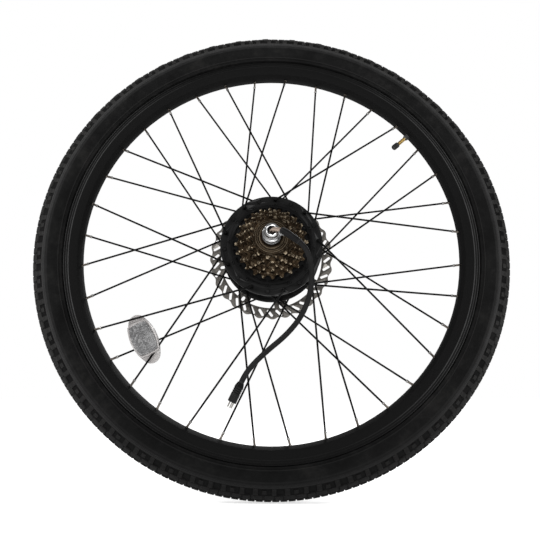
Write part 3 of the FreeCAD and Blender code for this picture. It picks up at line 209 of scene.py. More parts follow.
# The floor's glow: distances from the middle where it starts and stops growing, and its two strengths
FLOOR_GLOW = (1.0, 4.0, 0.62, 0.85)
ROOM_SEEN = 1.0
ROOM_LIGHT = 0.32
# Round lamps that point at the hub: place, diameter and power
LAMPS = {
    "key": ((-1.8, -1.5, 1.6), 1.1, 46.0),
    "fill": ((1.6, -1.5, 0.5), 0.9, 12.0),
    "front": ((0.1, -2.4, 0.25), 0.7, 11.0),
    "back": ((0.6, 1.8, 1.4), 1.2, 24.0),
}


# ---- places ----

def at(radius, y, degrees):
    """The point at this radius, place along the axle and angle round it."""
    angle = math.radians(degrees)
    return Vector((radius * math.cos(angle), y, radius * math.sin(angle)))


def in_metres(outline):
    """Corners given in millimetres, as metres."""
    return [(first * MM, second * MM) for first, second in outline]


def spoke_line(number):
    """The elbow at the flange and the place in the rim's inner wall, for one spoke."""
    side = -1 if number % 2 == 0 else 1
    lead = LACING_LEAD if number % 4 in (0, 1) else -LACING_LEAD
    nipple_angle = LACING_START + 360.0 * number / SPOKES
    outer_face, inner_face = DRIVE_FLANGE if side < 0 else LEFT_FLANGE
    elbow_y = outer_face + side * OUTSIDE_ELBOW if lead > 0 else inner_face - side * INSIDE_ELBOW
    elbow = at(HOLE_CIRCLE, elbow_y * MM, nipple_angle + lead)
    return elbow, at(RIM_WALL, side * RIM_HOLE_OFFSET, nipple_angle)


# ---- mesh helpers ----

def new_piece(name, vertices, faces):
    """An object from plain lists, with its faces turned outward."""
    mesh = bpy.data.meshes.new(name)
    mesh.from_pydata([tuple(v) for v in vertices], [], faces)
    work = bmesh.new()
    work.from_mesh(mesh)
    bmesh.ops.recalc_face_normals(work, faces=work.faces)
    work.to_mesh(mesh)
    work.free()
    piece = bpy.data.objects.new(name, mesh)
    bpy.context.scene.collection.objects.link(piece)
    return piece


def shade(piece, degrees=32.0):
    """Smooth shading that keeps edges sharper than this angle."""
    mesh = piece.data
    mesh.polygons.foreach_set("use_smooth", [True] * len(mesh.polygons))
    mesh.set_sharp_from_angle(angle=math.radians(degrees))


def joined(name, pieces):
    """One object made of several."""
    vertices, faces = [], []
    for piece in pieces:
        start = len(vertices)
        vertices += [piece.matrix_world @ v.co for v in piece.data.vertices]
        faces += [[start + i for i in p.vertices] for p in piece.data.polygons]
        bpy.data.objects.remove(piece)
    return new_piece(name, vertices, faces)


def lathe(name, profile, steps=ROUND_STEPS, place=None):
    """A closed ring from (radius, along) corners, about the axle or about another line."""
    origin, axis, side = place or (Vector((0, 0, 0)), Vector((0, 1, 0)), Vector((1, 0, 0)))
    across = axis.cross(side)
    count = len(profile)
    vertices, faces = [], []
    for step in range(steps):
        angle = 2 * math.pi * step / steps
        out = side * math.cos(angle) + across * math.sin(angle)
        vertices += [origin + out * radius + axis * along for radius, along in profile]
    for step in range(steps):
        near, far = step * count, (step + 1) % steps * count
        for i in range(count):
            j = (i + 1) % count
            faces.append((near + i, near + j, far + j, far + i))
    return new_piece(name, vertices, faces)


def tube_faces(rings, sides):
    """The faces of a tube made of rings of vertices, with both its ends closed."""
    faces = []
    for ring in range(rings - 1):
        for step in range(sides):
            a, b = ring * sides + step, ring * sides + (step + 1) % sides
            faces.append((a, b, b + sides, a + sides))
    faces.append(tuple(range(sides)))
    faces.append(tuple((rings - 1) * sides + step for step in range(sides)))
    return faces


def sweep(name, points, radii, sides):
    """A closed tube of changing radius along a line of points."""
    vertices = []
    up = Vector((0, 1, 0))
    for i, (point, radius) in enumerate(zip(points, radii)):
        along = (points[min(i + 1, len(points) - 1)] - points[max(i - 1, 0)]).normalized()
        side = along.cross(up).normalized()
        lift = side.cross(along)
        for step in range(sides):
            angle = 2 * math.pi * step / sides
            vertices.append(point + (side * math.cos(angle) + lift * math.sin(angle)) * radius)
    return new_piece(name, vertices, tube_faces(len(points), sides))


def soften(piece, width):
    """Rounds the sharp edges of a piece for good."""
    bevel = piece.modifiers.new("edges", "BEVEL")
    bevel.width = width
    bevel.segments = 2
    bevel.limit_method = "ANGLE"
    bevel.angle_limit = math.radians(30)
    bevel.use_clamp_overlap = True
    graph = bpy.context.evaluated_depsgraph_get()
    mesh = bpy.data.meshes.new_from_object(piece.evaluated_get(graph))
    piece.modifiers.clear()
    piece.data = mesh


def refined(node, width, slot):
    """A copy of a CAD node with rounded edges, which stands for it."""
    mesh = frame["nodes"][node].data.copy()
    if "custom_normal" in mesh.attributes:
        mesh.attributes.remove(mesh.attributes["custom_normal"])
    work = bmesh.new()
    work.from_mesh(mesh)
    bmesh.ops.remove_doubles(work, verts=work.verts, dist=1e-6)
    bmesh.ops.dissolve_limit(work, angle_limit=math.radians(0.3), verts=work.verts, edges=work.edges)
    work.to_mesh(mesh)
    work.free()
    piece = bpy.data.objects.new(node + "_visual", mesh)
    bpy.context.scene.collection.objects.link(piece)
    if width:
        soften(piece, width)
    shade(piece)
    settle(piece, frame["nodes"][node]["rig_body"], slot, node)
    return piece


def settle(piece, body, slot, *nodes):
    """Rides the piece on its body, gives its finish and hides what it stands for."""
    piece.data.materials.clear()
    piece.data.materials.append(FINISH[slot])
    if nodes:
        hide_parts(*nodes)
    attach(piece, body)


# ---- materials ----

def start_material(name):
    """A new material, its node tree and its shader."""
    material = bpy.data.materials.new(name)
    material.use_nodes = True
    return material, material.node_tree, material.node_tree.nodes["Principled BSDF"]


def add(tree, kind, **values):
    """A new node with these settings."""
    node = tree.nodes.new(kind)
    for key, value in values.items():
        setattr(node, key, value)
    return node


def maths(tree, operation, first, second=None):
    """A Math node on sockets or numbers."""
    node = add(tree, "ShaderNodeMath", operation=operation)
    for socket, value in zip(node.inputs, (first, second)):
        if value is None:
            continue
        if isinstance(value, (int, float)):
            socket.default_value = value
        else:
            tree.links.new(value, socket)
    return node.outputs[0]


def place_of(tree):
    """The place in the piece's own coordinates."""
    return add(tree, "ShaderNodeTexCoord").outputs["Object"]


def sides_of(tree):
    """The place along X, Y and Z."""
    split = add(tree, "ShaderNodeSeparateXYZ")
    tree.links.new(place_of(tree), split.inputs[0])
    return split.outputs


def radius_of(tree):
    """The distance from the axle, and the place along X and Y."""
    x, y, z = sides_of(tree)
    squares = maths(tree, "ADD", maths(tree, "MULTIPLY", x, x), maths(tree, "MULTIPLY", z, z))
    return maths(tree, "SQRT", squares), x, y


def by_distance(tree, distance, start, end, stops):
    """A colour that depends on a distance: (millimetres, colour) stops between the start and the end."""
    share = add(tree, "ShaderNodeMapRange")
    share.inputs["From Min"].default_value = start * MM
    share.inputs["From Max"].default_value = end * MM
    tree.links.new(distance, share.inputs[0])
    shares = [((at_mm - start) / (end - start), colour) for at_mm, colour in stops]
    return ramp(tree, share.outputs[0], shares)


def by_radius(tree, start, end, stops):
    """A colour that depends on the distance from the axle."""
    return by_distance(tree, radius_of(tree)[0], start, end, stops)


def by_height(tree, start, end, stops):
    """A colour that depends on the height."""
    return by_distance(tree, sides_of(tree)[2], start, end, stops)


def turned_place(tree, lines=1.0, drift=0.02):
    """A coordinate that changes fast with radius and slowly round the axle, for turning marks."""
    radius, x, y = radius_of(tree)
    join = add(tree, "ShaderNodeCombineXYZ")
    tree.links.new(maths(tree, "MULTIPLY", radius, lines), join.inputs[0])
    tree.links.new(maths(tree, "MULTIPLY", x, drift), join.inputs[1])
    tree.links.new(maths(tree, "MULTIPLY", y, lines), join.inputs[2])
    return join.outputs[0]


def noise(tree, scale, detail=4.0, rough=0.55, vector=None):
    """A noise texture from 0 to 1."""
    node = add(tree, "ShaderNodeTexNoise")
    node.inputs["Scale"].default_value = scale
    node.inputs["Detail"].default_value = detail
    node.inputs["Roughness"].default_value = rough
    tree.links.new(vector or place_of(tree), node.inputs["Vector"])
    return node.outputs["Fac"]


def ramp(tree, source, stops):
    """A colour ramp from (position, colour) stops."""
    node = add(tree, "ShaderNodeValToRGB")
    tree.links.new(source, node.inputs[0])
    elements = node.color_ramp.elements
    while len(elements) < len(stops):
        elements.new(0.5)
    for element, (position, colour) in zip(elements, stops):
        element.position = position
        element.color = (*colour, 1.0)
    return node.outputs[0]


def blend(tree, amount, first, second):
    """Mixes two colours, given as sockets or as numbers."""
    node = add(tree, "ShaderNodeMix", data_type="RGBA")
    tree.links.new(amount, node.inputs["Factor"])
    for socket, value in zip((node.inputs[6], node.inputs[7]), (first, second)):
        if isinstance(value, tuple):
            socket.default_value = (*value, 1.0)
        else:
            tree.links.new(value, socket)
    return node.outputs[2]


def spread(tree, source, low, high):
    """Maps a 0..1 source to a range of numbers."""
    node = add(tree, "ShaderNodeMapRange")
    node.inputs["To Min"].default_value = low
    node.inputs["To Max"].default_value = high
    tree.links.new(source, node.inputs[0])
    return node.outputs[0]


def edges_of(tree, low=0.52, high=0.60):
    """1 on worn, convex edges and 0 elsewhere."""
    pointed = add(tree, "ShaderNodeNewGeometry").outputs["Pointiness"]
    node = add(tree, "ShaderNodeMapRange")
    node.inputs["From Min"].default_value = low
    node.inputs["From Max"].default_value = high
    tree.links.new(pointed, node.inputs[0])
    return node.outputs[0]


def bump(tree, shader, height, strength, distance):
    """Fine relief in the shading, from a height."""
    node = add(tree, "ShaderNodeBump")
    node.inputs["Strength"].default_value = strength
    node.inputs["Distance"].default_value = distance
    tree.links.new(height, node.inputs["Height"])
    tree.links.new(node.outputs[0], shader.inputs["Normal"])


def finish(name, dark, light, roughness, metallic, grain, relief, wear, turned, coat):
    """A surface with patchy colour, uneven gloss, fine relief and worn edges."""
    material, tree, shader = start_material(name)
    patches = noise(tree, 45.0, 5.0)
    fine = noise(tree, grain, 3.0, 0.6, turned_place(tree) if turned else None)
    colour = ramp(tree, patches, [(0.32, dark), (0.68, light)])
    colour = blend(tree, spread(tree, fine, 0.0, 0.35), colour, dark)
    if wear:
        amount = maths(tree, "MULTIPLY", edges_of(tree), spread(tree, patches, 0.2, 1.0))
        colour = blend(tree, amount, colour, wear)
    tree.links.new(colour, shader.inputs["Base Color"])
    mixed = maths(tree, "MULTIPLY", maths(tree, "ADD", patches, fine), 0.5)
    uneven = spread(tree, mixed, roughness * 0.72, min(1.0, roughness * 1.28))
    tree.links.new(uneven, shader.inputs["Roughness"])
    shader.inputs["Metallic"].default_value = metallic
    shader.inputs["Specular IOR Level"].default_value = 0.05
    shader.inputs["Coat Weight"].default_value = coat
    bump(tree, shader, fine, relief, 0.0002)
    return material


def grey(level, warm=0.0):
    """A grey of this level, tinted towards red by a share of it."""
    return (level * (1 + warm), level, level * (1 - warm))


def sprocket_finish():
    """Bronze-brown plating with painted glints scattered along the teeth's edges, fewer on the turned centre
    rings.
    """
    material, tree, shader = start_material("sprocket_bronze")
    centre = by_radius(tree, 21.0, 25.0, [(22.4, grey(1.0)), (23.0, grey(0.0))])
    turned = noise(tree, 420.0, 2.0, 0.5, turned_place(tree, 1.0, 0.004))
    patches = blend(tree, centre, noise(tree, 110.0, 6.0, 0.65), turned)
    fine = noise(tree, 1800.0, 3.0)
    colour = ramp(tree, patches, [(0.25, (0.0038, 0.0024, 0.0013)), (0.50, (0.0150, 0.0098, 0.0055)),
                                  (0.80, (0.068, 0.047, 0.027))])
    # Painted glints: a noise picks the edges that get a painted highlight, with fewer on the centre rings.
    glint_scatter = ramp(tree, noise(tree, 260.0, 2.0), [(0.50, grey(0.0)), (0.60, grey(1.0))])
    glint_scatter = blend(tree, centre, glint_scatter, grey(0.10))
    painted_glints = maths(tree, "MULTIPLY", edges_of(tree, 0.53, 0.60), glint_scatter)
    # The pale bronze on those edges is a painted highlight.
    tree.links.new(blend(tree, painted_glints, colour, (0.76, 0.63, 0.45)), shader.inputs["Base Color"])
    tree.links.new(spread(tree, patches, 0.24, 0.50), shader.inputs["Roughness"])
    shader.inputs["Metallic"].default_value = 0.97
    bump(tree, shader, fine, 0.12, 0.0002)
    return material


def rim_finish():
    """Satin black, with fine lines and a slightly lighter band painted on as a painted sheen of the turned
    side, shown only on the wheel's left and right flanks.
    """
    material, tree, shader = start_material("rim_black")
    fine = noise(tree, 1500.0, 3.0, 0.6, turned_place(tree))
    patches = noise(tree, 40.0, 5.0)
    # The lighter greys of the lines and the band are a painted sheen.
    black, band, line = grey(0.0045), grey(0.0085), grey(0.066)
    colour = by_radius(tree, 274.0, 292.0, [
        (274.0, black), (278.6, black), (279.2, line), (279.9, line), (280.4, band), (282.0, band),
        (282.5, line), (283.1, band), (285.0, band), (285.5, line), (286.6, line), (287.0, black),
        (291.0, black)])
    # Painted sheen: the lines and band show only far out to the left and right, where light grazes the turned
    # side; at the top and bottom the rim stays black.
    x = radius_of(tree)[1]
    painted_flank_sheen = ramp(tree, maths(tree, "MULTIPLY", x, x), [(0.010, grey(0.10)), (0.058, grey(1.0))])
    colour = blend(tree, painted_flank_sheen, black, colour)
    colour = blend(tree, spread(tree, patches, 0.0, 0.6), colour, grey(0.0035))
    tree.links.new(colour, shader.inputs["Base Color"])
    tree.links.new(spread(tree, fine, 0.50, 0.72), shader.inputs["Roughness"])
    shader.inputs["Specular IOR Level"].default_value = 0.04
    bump(tree, shader, fine, 0.06, 0.0002)
    return material


def disc_finish():
    """Ground stainless steel with circular grinding marks."""
    material, tree, shader = start_material("disc_steel")
    lines = noise(tree, 2600.0, 3.0, 0.6, turned_place(tree))
    patches = noise(tree, 60.0, 5.0)
    colour = ramp(tree, lines, [(0.30, (0.045, 0.041, 0.036)), (0.75, (0.100, 0.093, 0.083))])
    colour = blend(tree, spread(tree, patches, 0.0, 0.5), colour, (0.038, 0.034, 0.030))
    tree.links.new(blend(tree, edges_of(tree), colour, (0.40, 0.38, 0.35)), shader.inputs["Base Color"])
    tree.links.new(spread(tree, lines, 0.30, 0.55), shader.inputs["Roughness"])
    shader.inputs["Metallic"].default_value = 0.75
    bump(tree, shader, lines, 0.15, 0.0001)
    return material


def tyre_finish():
    """Black rubber: dusty on the shoulders, with painted shade that darkens the tread towards the bottom,
    faint mould lines on the sidewall.
    """
    material, tree, shader = start_material("tyre_rubber")
    lines = noise(tree, 1500.0, 2.0, 0.5, turned_place(tree))
    dust = noise(tree, 70.0, 6.0, 0.7)
    pores = noise(tree, 2400.0, 3.0)
    clouds = noise(tree, 16.0, 5.0, 0.7)
    patchy = maths(tree, "MULTIPLY", maths(tree, "ADD", dust, clouds), 0.5)
    colour = ramp(tree, patchy, [(0.40, grey(0.0024)), (0.51, grey(0.0052)), (0.62, grey(0.0115, 0.03))])
    colour = blend(tree, spread(tree, lines, 0.0, 0.5), colour, grey(0.0020))
    ridge = by_radius(tree, 300.0, 316.0, [
        (303.5, grey(0.0)), (305.0, grey(0.35)), (307.5, grey(0.35)),
        (308.2, grey(1.0)), (311.2, grey(1.0)), (312.4, grey(0.0))])
    colour = blend(tree, maths(tree, "MULTIPLY", ridge, spread(tree, dust, 0.35, 1.0)), colour, grey(0.034))
    colour = blend(tree, maths(tree, "MULTIPLY", edges_of(tree, 0.51, 0.60), 0.75), colour, grey(0.030, 0.02))
    # Painted shade: the tread is painted darker towards the bottom of the wheel, with the sidewall left out.
    painted_bottom_shade = by_height(tree, -331.0, 0.0, [(-331.0, grey(0.75)), (-250.0, grey(0.55)), (-120.0, grey(0.0))])
    sidewall = by_radius(tree, 300.0, 316.0, [(303.0, grey(1.0)), (306.0, grey(0.0))])
    painted_bottom_shade = blend(tree, sidewall, painted_bottom_shade, grey(0.0))
    colour = blend(tree, painted_bottom_shade, colour, grey(0.0026))
    tree.links.new(colour, shader.inputs["Base Color"])
    tree.links.new(spread(tree, dust, 0.55, 0.82), shader.inputs["Roughness"])
    shader.inputs["Specular IOR Level"].default_value = 0.06
    bump(tree, shader, maths(tree, "ADD", lines, pores), 0.18, 0.0003)
    return material


def milky_finish():
    """Milky translucent plastic of the reflector's body."""
    material, tree, shader = start_material("reflector_white")
    clouds = noise(tree, 140.0, 4.0)
    colour = ramp(tree, clouds, [(0.3, (0.32, 0.30, 0.295)), (0.7, (0.48, 0.46, 0.45))])
    tree.links.new(colour, shader.inputs["Base Color"])
    tree.links.new(spread(tree, clouds, 0.18, 0.34), shader.inputs["Roughness"])
    shader.inputs["Transmission Weight"].default_value = 0.25
    shader.inputs["IOR"].default_value = 1.49
    bump(tree, shader, noise(tree, 700.0), 0.06, 0.0003)
    return material


def lens_finish():
    """Grey lens whose small facets catch the light one by one."""
    material, tree, shader = start_material("reflector_lens")
    facets = add(tree, "ShaderNodeTexVoronoi")
    facets.inputs["Scale"].default_value = 480.0
    tree.links.new(place_of(tree), facets.inputs["Vector"])
    painted_glints = add(tree, "ShaderNodeSeparateColor")
    tree.links.new(facets.outputs["Color"], painted_glints.inputs[0])
    level = painted_glints.outputs[0]
    colour = ramp(tree, level, [(0.0, (0.080, 0.079, 0.080)), (0.55, (0.125, 0.124, 0.126)),
                                (1.0, (0.22, 0.219, 0.22))])
    tree.links.new(colour, shader.inputs["Base Color"])
    tree.links.new(spread(tree, level, 0.12, 0.42), shader.inputs["Roughness"])
    shader.inputs["Metallic"].default_value = 0.1
    bump(tree, shader, level, 0.25, 0.0004)
    return material


def copper_finish():
    """Enamelled wire, wound turn beside turn."""
    material, tree, shader = start_material("coil_copper")
    wave = add(tree, "ShaderNodeTexWave", wave_type="BANDS", bands_direction="Y")
    wave.inputs["Scale"].default_value = 420.0
    wave.inputs["Distortion"].default_value = 0.6
    tree.links.new(place_of(tree), wave.inputs["Vector"])
    colour = ramp(tree, wave.outputs["Fac"], [(0.1, (0.12, 0.035, 0.012)), (0.8, (0.52, 0.20, 0.075))])
    tree.links.new(colour, shader.inputs["Base Color"])
    tree.links.new(spread(tree, noise(tree, 300.0), 0.22, 0.40), shader.inputs["Roughness"])
    shader.inputs["Metallic"].default_value = 0.7
    bump(tree, shader, wave.outputs["Fac"], 0.6, 0.0004)
    return material


# Plain finishes: dark and light colour, roughness, metallic, grain, relief, colour of worn edges,
# turning marks, coat
PLAIN_FINISHES = {
    "tube_rubber": (grey(0.010), grey(0.018), 0.6, 0.0, 700.0, 0.10, None, False, 0.0),
    "tape": ((0.30, 0.06, 0.02), (0.50, 0.12, 0.05), 0.5, 0.0, 800.0, 0.10, None, False, 0.0),
    "spoke_black": (grey(0.0009), grey(0.0022), 0.34, 0.0, 1200.0, 0.06, grey(0.008), False, 0.0),
    "nipple_silver": (
        grey(0.030, 0.16), grey(0.13, 0.14), 0.28, 0.95, 1400.0, 0.08, grey(0.40), False, 0.0),
    "valve_brass": (
        (0.20, 0.13, 0.035), (0.46, 0.31, 0.10), 0.22, 1.0, 1500.0, 0.06, (0.90, 0.75, 0.42), False, 0.0),
    "cap_black": (grey(0.002), grey(0.006), 0.30, 0.0, 1300.0, 0.10, grey(0.16), False, 0.0),
    "shell_black": (grey(0.0022), grey(0.0056), 0.44, 0.0, 1100.0, 0.14, grey(0.055), False, 0.0),
    "screw_steel": (grey(0.0015), grey(0.0045), 0.32, 0.3, 1500.0, 0.08, grey(0.05), False, 0.0),
    "seal_rubber": (grey(0.008), grey(0.014), 0.6, 0.0, 900.0, 0.10, None, False, 0.0),
    "bearing_steel": (grey(0.38), grey(0.58), 0.18, 1.0, 2200.0, 0.04, None, True, 0.0),
    "axle_steel": (grey(0.12), grey(0.28), 0.28, 0.95, 2200.0, 0.05, grey(0.55), True, 0.0),
    "nut_chrome": (grey(0.28), grey(0.42), 0.17, 1.0, 2400.0, 0.004, grey(0.85), False, 0.0),
    "iron_core": (grey(0.10), grey(0.20), 0.42, 0.9, 2600.0, 0.20, None, False, 0.0),
    "board_green": (
        (0.008, 0.07, 0.022), (0.02, 0.16, 0.05), 0.35, 0.0, 1600.0, 0.10, (0.35, 0.28, 0.10), False, 0.2),
    "magnet_nickel": (grey(0.30), grey(0.52), 0.22, 1.0, 1500.0, 0.04, None, False, 0.0),
    "gear_nylon": ((0.52, 0.50, 0.42), (0.74, 0.72, 0.63), 0.42, 0.0, 1100.0, 0.08, None, False, 0.0),
    "gear_steel": (grey(0.14), grey(0.30), 0.28, 0.95, 1900.0, 0.08, grey(0.55), False, 0.0),
    "carrier_alloy": (grey(0.40), grey(0.62), 0.32, 0.95, 2200.0, 0.08, grey(0.8), True, 0.0),
    "protector_black": (grey(0.0010), grey(0.0022), 0.50, 0.0, 1500.0, 0.12, grey(0.014), False, 0.0),
    "wire_tan": ((0.20, 0.155, 0.125), (0.42, 0.34, 0.285), 0.42, 0.0, 1200.0, 0.08, None, False, 0.0),
    "cable_black": (grey(0.0055), grey(0.0105), 0.46, 0.0, 1600.0, 0.12, grey(0.04), False, 0.0),
    "plug_black": (grey(0.0022), grey(0.0055), 0.42, 0.0, 1500.0, 0.12, grey(0.07), False, 0.0),
    "pin_tin": ((0.10, 0.085, 0.060), (0.32, 0.28, 0.20), 0.24, 1.0, 1800.0, 0.05, grey(0.85), False, 0.0),
}


def make_finishes():
    """Every material slot of the record, as a procedural material."""
    made = {
        "tyre_rubber": tyre_finish(),
        "rim_black": rim_finish(),
        "sprocket_bronze": sprocket_finish(),
        "disc_steel": disc_finish(),
        "reflector_white": milky_finish(),
        "reflector_lens": lens_finish(),
        "coil_copper": copper_finish(),
    }
    for slot, values in PLAIN_FINISHES.items():
        made[slot] = finish(slot, *values)
    return made


# ---- tyre and rim ----

def tyre_profile():
    """The carcass outline: (radius, y) corners from one rim lip over the crown to the other."""
    fine = []
    for (a, p), (b, q) in zip(CARCASS_OUTLINE, CARCASS_OUTLINE[1:]):
        steps = max(1, round((b - a) / CARCASS_STEP))
        fine += [(a + (b - a) * i / steps, p + (q - p) * i / steps) for i in range(steps)]
    fine.append(CARCASS_OUTLINE[-1])
    outer = [section_point(angle, depth * MM) for angle, depth in fine]
    cavity = [section_point(angle, TYRE_CAVITY) for angle in CAVITY_ANGLES]
    side = outer + in_metres(BEAD_OUTLINE) + cavity
    return [(r, -y) for r, y in side] + [(r, y) for r, y in reversed(side[1:])]


def section_point(degrees, depth):
    """The (radius, y) of a point on the tyre's section, by its angle from the crown."""
    angle = math.radians(degrees)
    return TYRE_CENTRE + depth * math.cos(angle), depth * math.sin(angle)


def tread_block(vertices, faces, middle, width, round_middle, round_width, top):
    """One rubber block that follows the tyre's section, a little wider at its foot."""
    start = len(vertices)
    depths = (TREAD_BASE - BLOCK_ROOT, top - BLOCK_EDGE, top)
    columns = BLOCK_COLUMNS
    for depth, share in zip(depths, BLOCK_SHARES):
        for turn in (-0.5, 0.5):
            for column in range(columns):
                section_angle = middle + width * share * (column / (columns - 1) - 0.5)
                radius, y = section_point(section_angle, depth)
                vertices.append(at(radius, y, round_middle + turn * round_width * share))
    ring = list(range(columns)) + list(range(2 * columns - 1, columns - 1, -1))
    for level in range(len(depths) - 1):
        low, high = start + level * 2 * columns, start + (level + 1) * 2 * columns
        for a, b in zip(ring, ring[1:] + ring[:1]):
            faces.append((low + a, low + b, high + b, high + a))
    for low in (start, start + 2 * columns * (len(depths) - 1)):
        for column in range(columns - 1):
            a = low + column
            faces.append((a, a + 1, a + 1 + columns, a + columns))


# Blocks of one tread repeat: section angles, share of the repeat (start, end), and how far below the top
TREAD_BLOCKS = [
    (54.0, 74.5, 0.51, 0.65, 0.0),
    (54.0, 74.5, 0.92, 1.07, 0.0),
    (56.0, 68.0, 0.20, 0.34, LOW_BLOCK),
    (28.0, 50.0, 0.62, 0.83, 0.0),
    (30.0, 50.0, 0.88, 1.20, LOW_BLOCK),
    (30.0, 50.0, 0.29, 0.56, LOW_BLOCK),
    (3.0, 25.0, 0.02, 0.23, 0.0),
    (3.0, 25.0, 0.27, 0.48, 0.0),
    (3.0, 25.0, 0.52, 0.73, 0.0),
    (3.0, 25.0, 0.77, 0.98, 0.0),
]


def make_tyre():
    """Carcass with shoulder ridges, and a tread of small blocks with wells between the outer ones."""
    carcass = lathe("carcass", tyre_profile())
    vertices, faces = [], []
    step = 360.0 / TREAD_REPEATS
    for side in (-1, 1):
        turn = 0.0 if side < 0 else 0.5
        for low_angle, high_angle, start, end, drop in TREAD_BLOCKS:
            middle = side * (low_angle + high_angle) / 2
            width = high_angle - low_angle
            length = (end - start) * step
            for repeat in range(TREAD_REPEATS):
                place = (repeat + turn + (start + end) / 2) * step
                tread_block(vertices, faces, middle, width, place, length, TREAD_TOP - drop)
    blocks = new_piece("blocks", vertices, faces)
    tyre = joined("tyre_visual", [carcass, blocks])
    shade(tyre, 28.0)
    settle(tyre, "wheel", "tyre_rubber", "tyre")


def rim_rib(vertices, faces, side, degrees):
    """One fine slanted rib of the textured band on the rim's side."""
    start = len(vertices)
    for out, share in zip(BAND_RIB_SPAN, BAND_RIB_SHARES):
        y = side * (RIM_SIDE + out * MM)
        for radius, shift in ((BAND_INNER, -BAND_RIB_LEAN / 2), (BAND_OUTER, BAND_RIB_LEAN / 2)):
            for edge in (-BAND_RIB_HALF_WIDTH, BAND_RIB_HALF_WIDTH):
                vertices.append(at(radius, y, degrees + shift + edge * share))
    for a, b, c, d in ((0, 1, 3, 2), (4, 5, 7, 6), (0, 1, 5, 4), (2, 3, 7, 6), (0, 2, 6, 4), (1, 3, 7, 5)):
        faces.append((start + a, start + b, start + c, start + d))


def make_rim():
    """The rim with its holes, two fine raised lines and the textured band between them."""
    refined("rim", 0.0, "rim_black")
    parts = []
    for side in (-1, 1):
        for radius in LINE_RADII:
            line = [(radius + across * MM, side * (RIM_SIDE + out * MM)) for across, out in LINE_OUTLINE]
            parts.append(lathe("line", line))
    vertices, faces = [], []
    for side in (-1, 1):
        for rib in range(BAND_RIBS):
            rim_rib(vertices, faces, side, 360.0 * rib / BAND_RIBS)
    parts.append(new_piece("ribs", vertices, faces))
    trim = joined("rim_side_band", parts)
    shade(trim)
    settle(trim, "wheel", "rim_black")


# ---- spokes, nipples and valve ----

def make_nipples():
    """Nipples with a square wrench section, a round foot and a collar where the spoke goes in."""
    parts = []
    for number in range(SPOKES):
        elbow, wall = spoke_line(number)
        along = (wall - elbow).normalized()
        side = along.cross(Vector((0, 1, 0))).normalized()
        foot = wall - along * NIPPLE_LENGTH * MM
        nipple = lathe("nipple", in_metres(NIPPLE_OUTLINE), NIPPLE_STEPS, (foot, along, side))
        square_flats(nipple, foot, along, side)
        parts.append(nipple)
    nipples = joined("nipples_visual", parts)
    shade(nipples)
    settle(nipples, "wheel", "nipple_silver", "nipples")


def square_flats(nipple, foot, along, side):
    """Presses four flats onto the middle stretch of a nipple."""
    across = along.cross(side)
    low, high = WRENCH_SPAN
    for vertex in nipple.data.vertices:
        offset = vertex.co - foot
        place = offset.dot(along)
        if not low < place < high or (offset - along * place).length < NIPPLE_SKIN:
            continue
        a = max(-WRENCH_FLAT, min(WRENCH_FLAT, offset.dot(side)))
        b = max(-WRENCH_FLAT, min(WRENCH_FLAT, offset.dot(across)))
        vertex.co = foot + along * place + side * a + across * b


def make_valve():
    """Brass stem with a screw thread, rubber-covered root, and a knurled cap."""
    inward = -at(1.0, 0, VALVE_ANGLE)
    place = (at(VALVE_FOOT, 0, VALVE_ANGLE), inward, Vector((0, 1, 0)))
    thread = []
    for turn in range(THREAD_TURNS):
        start = THREAD_START + turn * THREAD_PITCH
        thread += [(THREAD_ROOT, start), (THREAD_CREST, start + 0.5), (THREAD_CREST, start + 0.7)]
    stem = lathe("valve_stem_visual", in_metres(STEM_FOOT + thread + STEM_TIP), 28, place)
    shade(stem)
    settle(stem, "wheel", "valve_brass", "valve_stem")
    root = lathe("valve_root_rubber", in_metres(VALVE_ROOT), 32, place)
    shade(root)
    settle(root, "wheel", "cap_black")
    make_valve_cap(place)


def make_valve_cap(place):
    """The cap, with fine ribs round it to grip."""
    origin, axis, side = place
    across = axis.cross(side)
    steps = CAP_RIBS * CAP_STEPS_PER_RIB
    vertices = []
    for along, radius, depth in CAP_RINGS:
        for step in range(steps):
            angle = 2 * math.pi * step / steps
            wave = depth * math.cos(angle * CAP_RIBS)
            out = side * math.cos(angle) + across * math.sin(angle)
            vertices.append(origin + axis * along * MM + out * (radius + wave) * MM)
    cap = new_piece("valve_cap_visual", vertices, tube_faces(len(CAP_RINGS), steps))
    shade(cap, 40.0)
    settle(cap, "wheel", "cap_black", "valve_cap")


# ---- reflector ----

def make_reflector():
    """Milky body with rounded edges, and a lens covered in small prisms in two mirrored fields."""
    refined("reflector_body", 0.6 * MM, "reflector_white")
    refined("reflector_lens", 0.25 * MM, "reflector_lens")
    along = Vector((math.cos(REFLECTOR_TILT), 0, math.sin(REFLECTOR_TILT)))
    across = Vector((-along.z, 0, along.x))
    vertices, faces = [], []
    middle, narrowing = LENS_HALF_WIDTH
    columns = int(LENS_HALF_LENGTH / PRISM_PITCH)
    rows = int(middle / PRISM_PITCH)
    for column in range(-columns, columns + 1):
        for row in range(-rows, rows + 1):
            a, b = column * PRISM_PITCH, (row + (column % 2) * 0.5) * PRISM_PITCH
            room = middle - narrowing * (a / LENS_HALF_LENGTH) ** 2 - PRISM_PITCH / 2
            if abs(b) > room or column == 0:
                continue
            start = len(vertices)
            centre = REFLECTOR_CENTRE + (along * a + across * b) * MM
            for corner in range(PRISM_SIDES):
                angle = 2 * math.pi * corner / PRISM_SIDES
                out = along * math.cos(angle) + across * math.sin(angle)
                point = centre + out * PRISM_PITCH * PRISM_SHARE * MM
                vertices.append((point.x, PRISM_FOOT_Y, point.z))
            vertices.append((centre.x, PRISM_TIP_Y, centre.z))
            ring = [start + i for i in range(PRISM_SIDES)]
            faces += [(a, b, start + PRISM_SIDES) for a, b in zip(ring, ring[1:] + ring[:1])]
            faces.append(tuple(ring))
    prisms = new_piece("reflector_prisms", vertices, faces)
    settle(prisms, "wheel", "reflector_lens")


# ---- cable ----

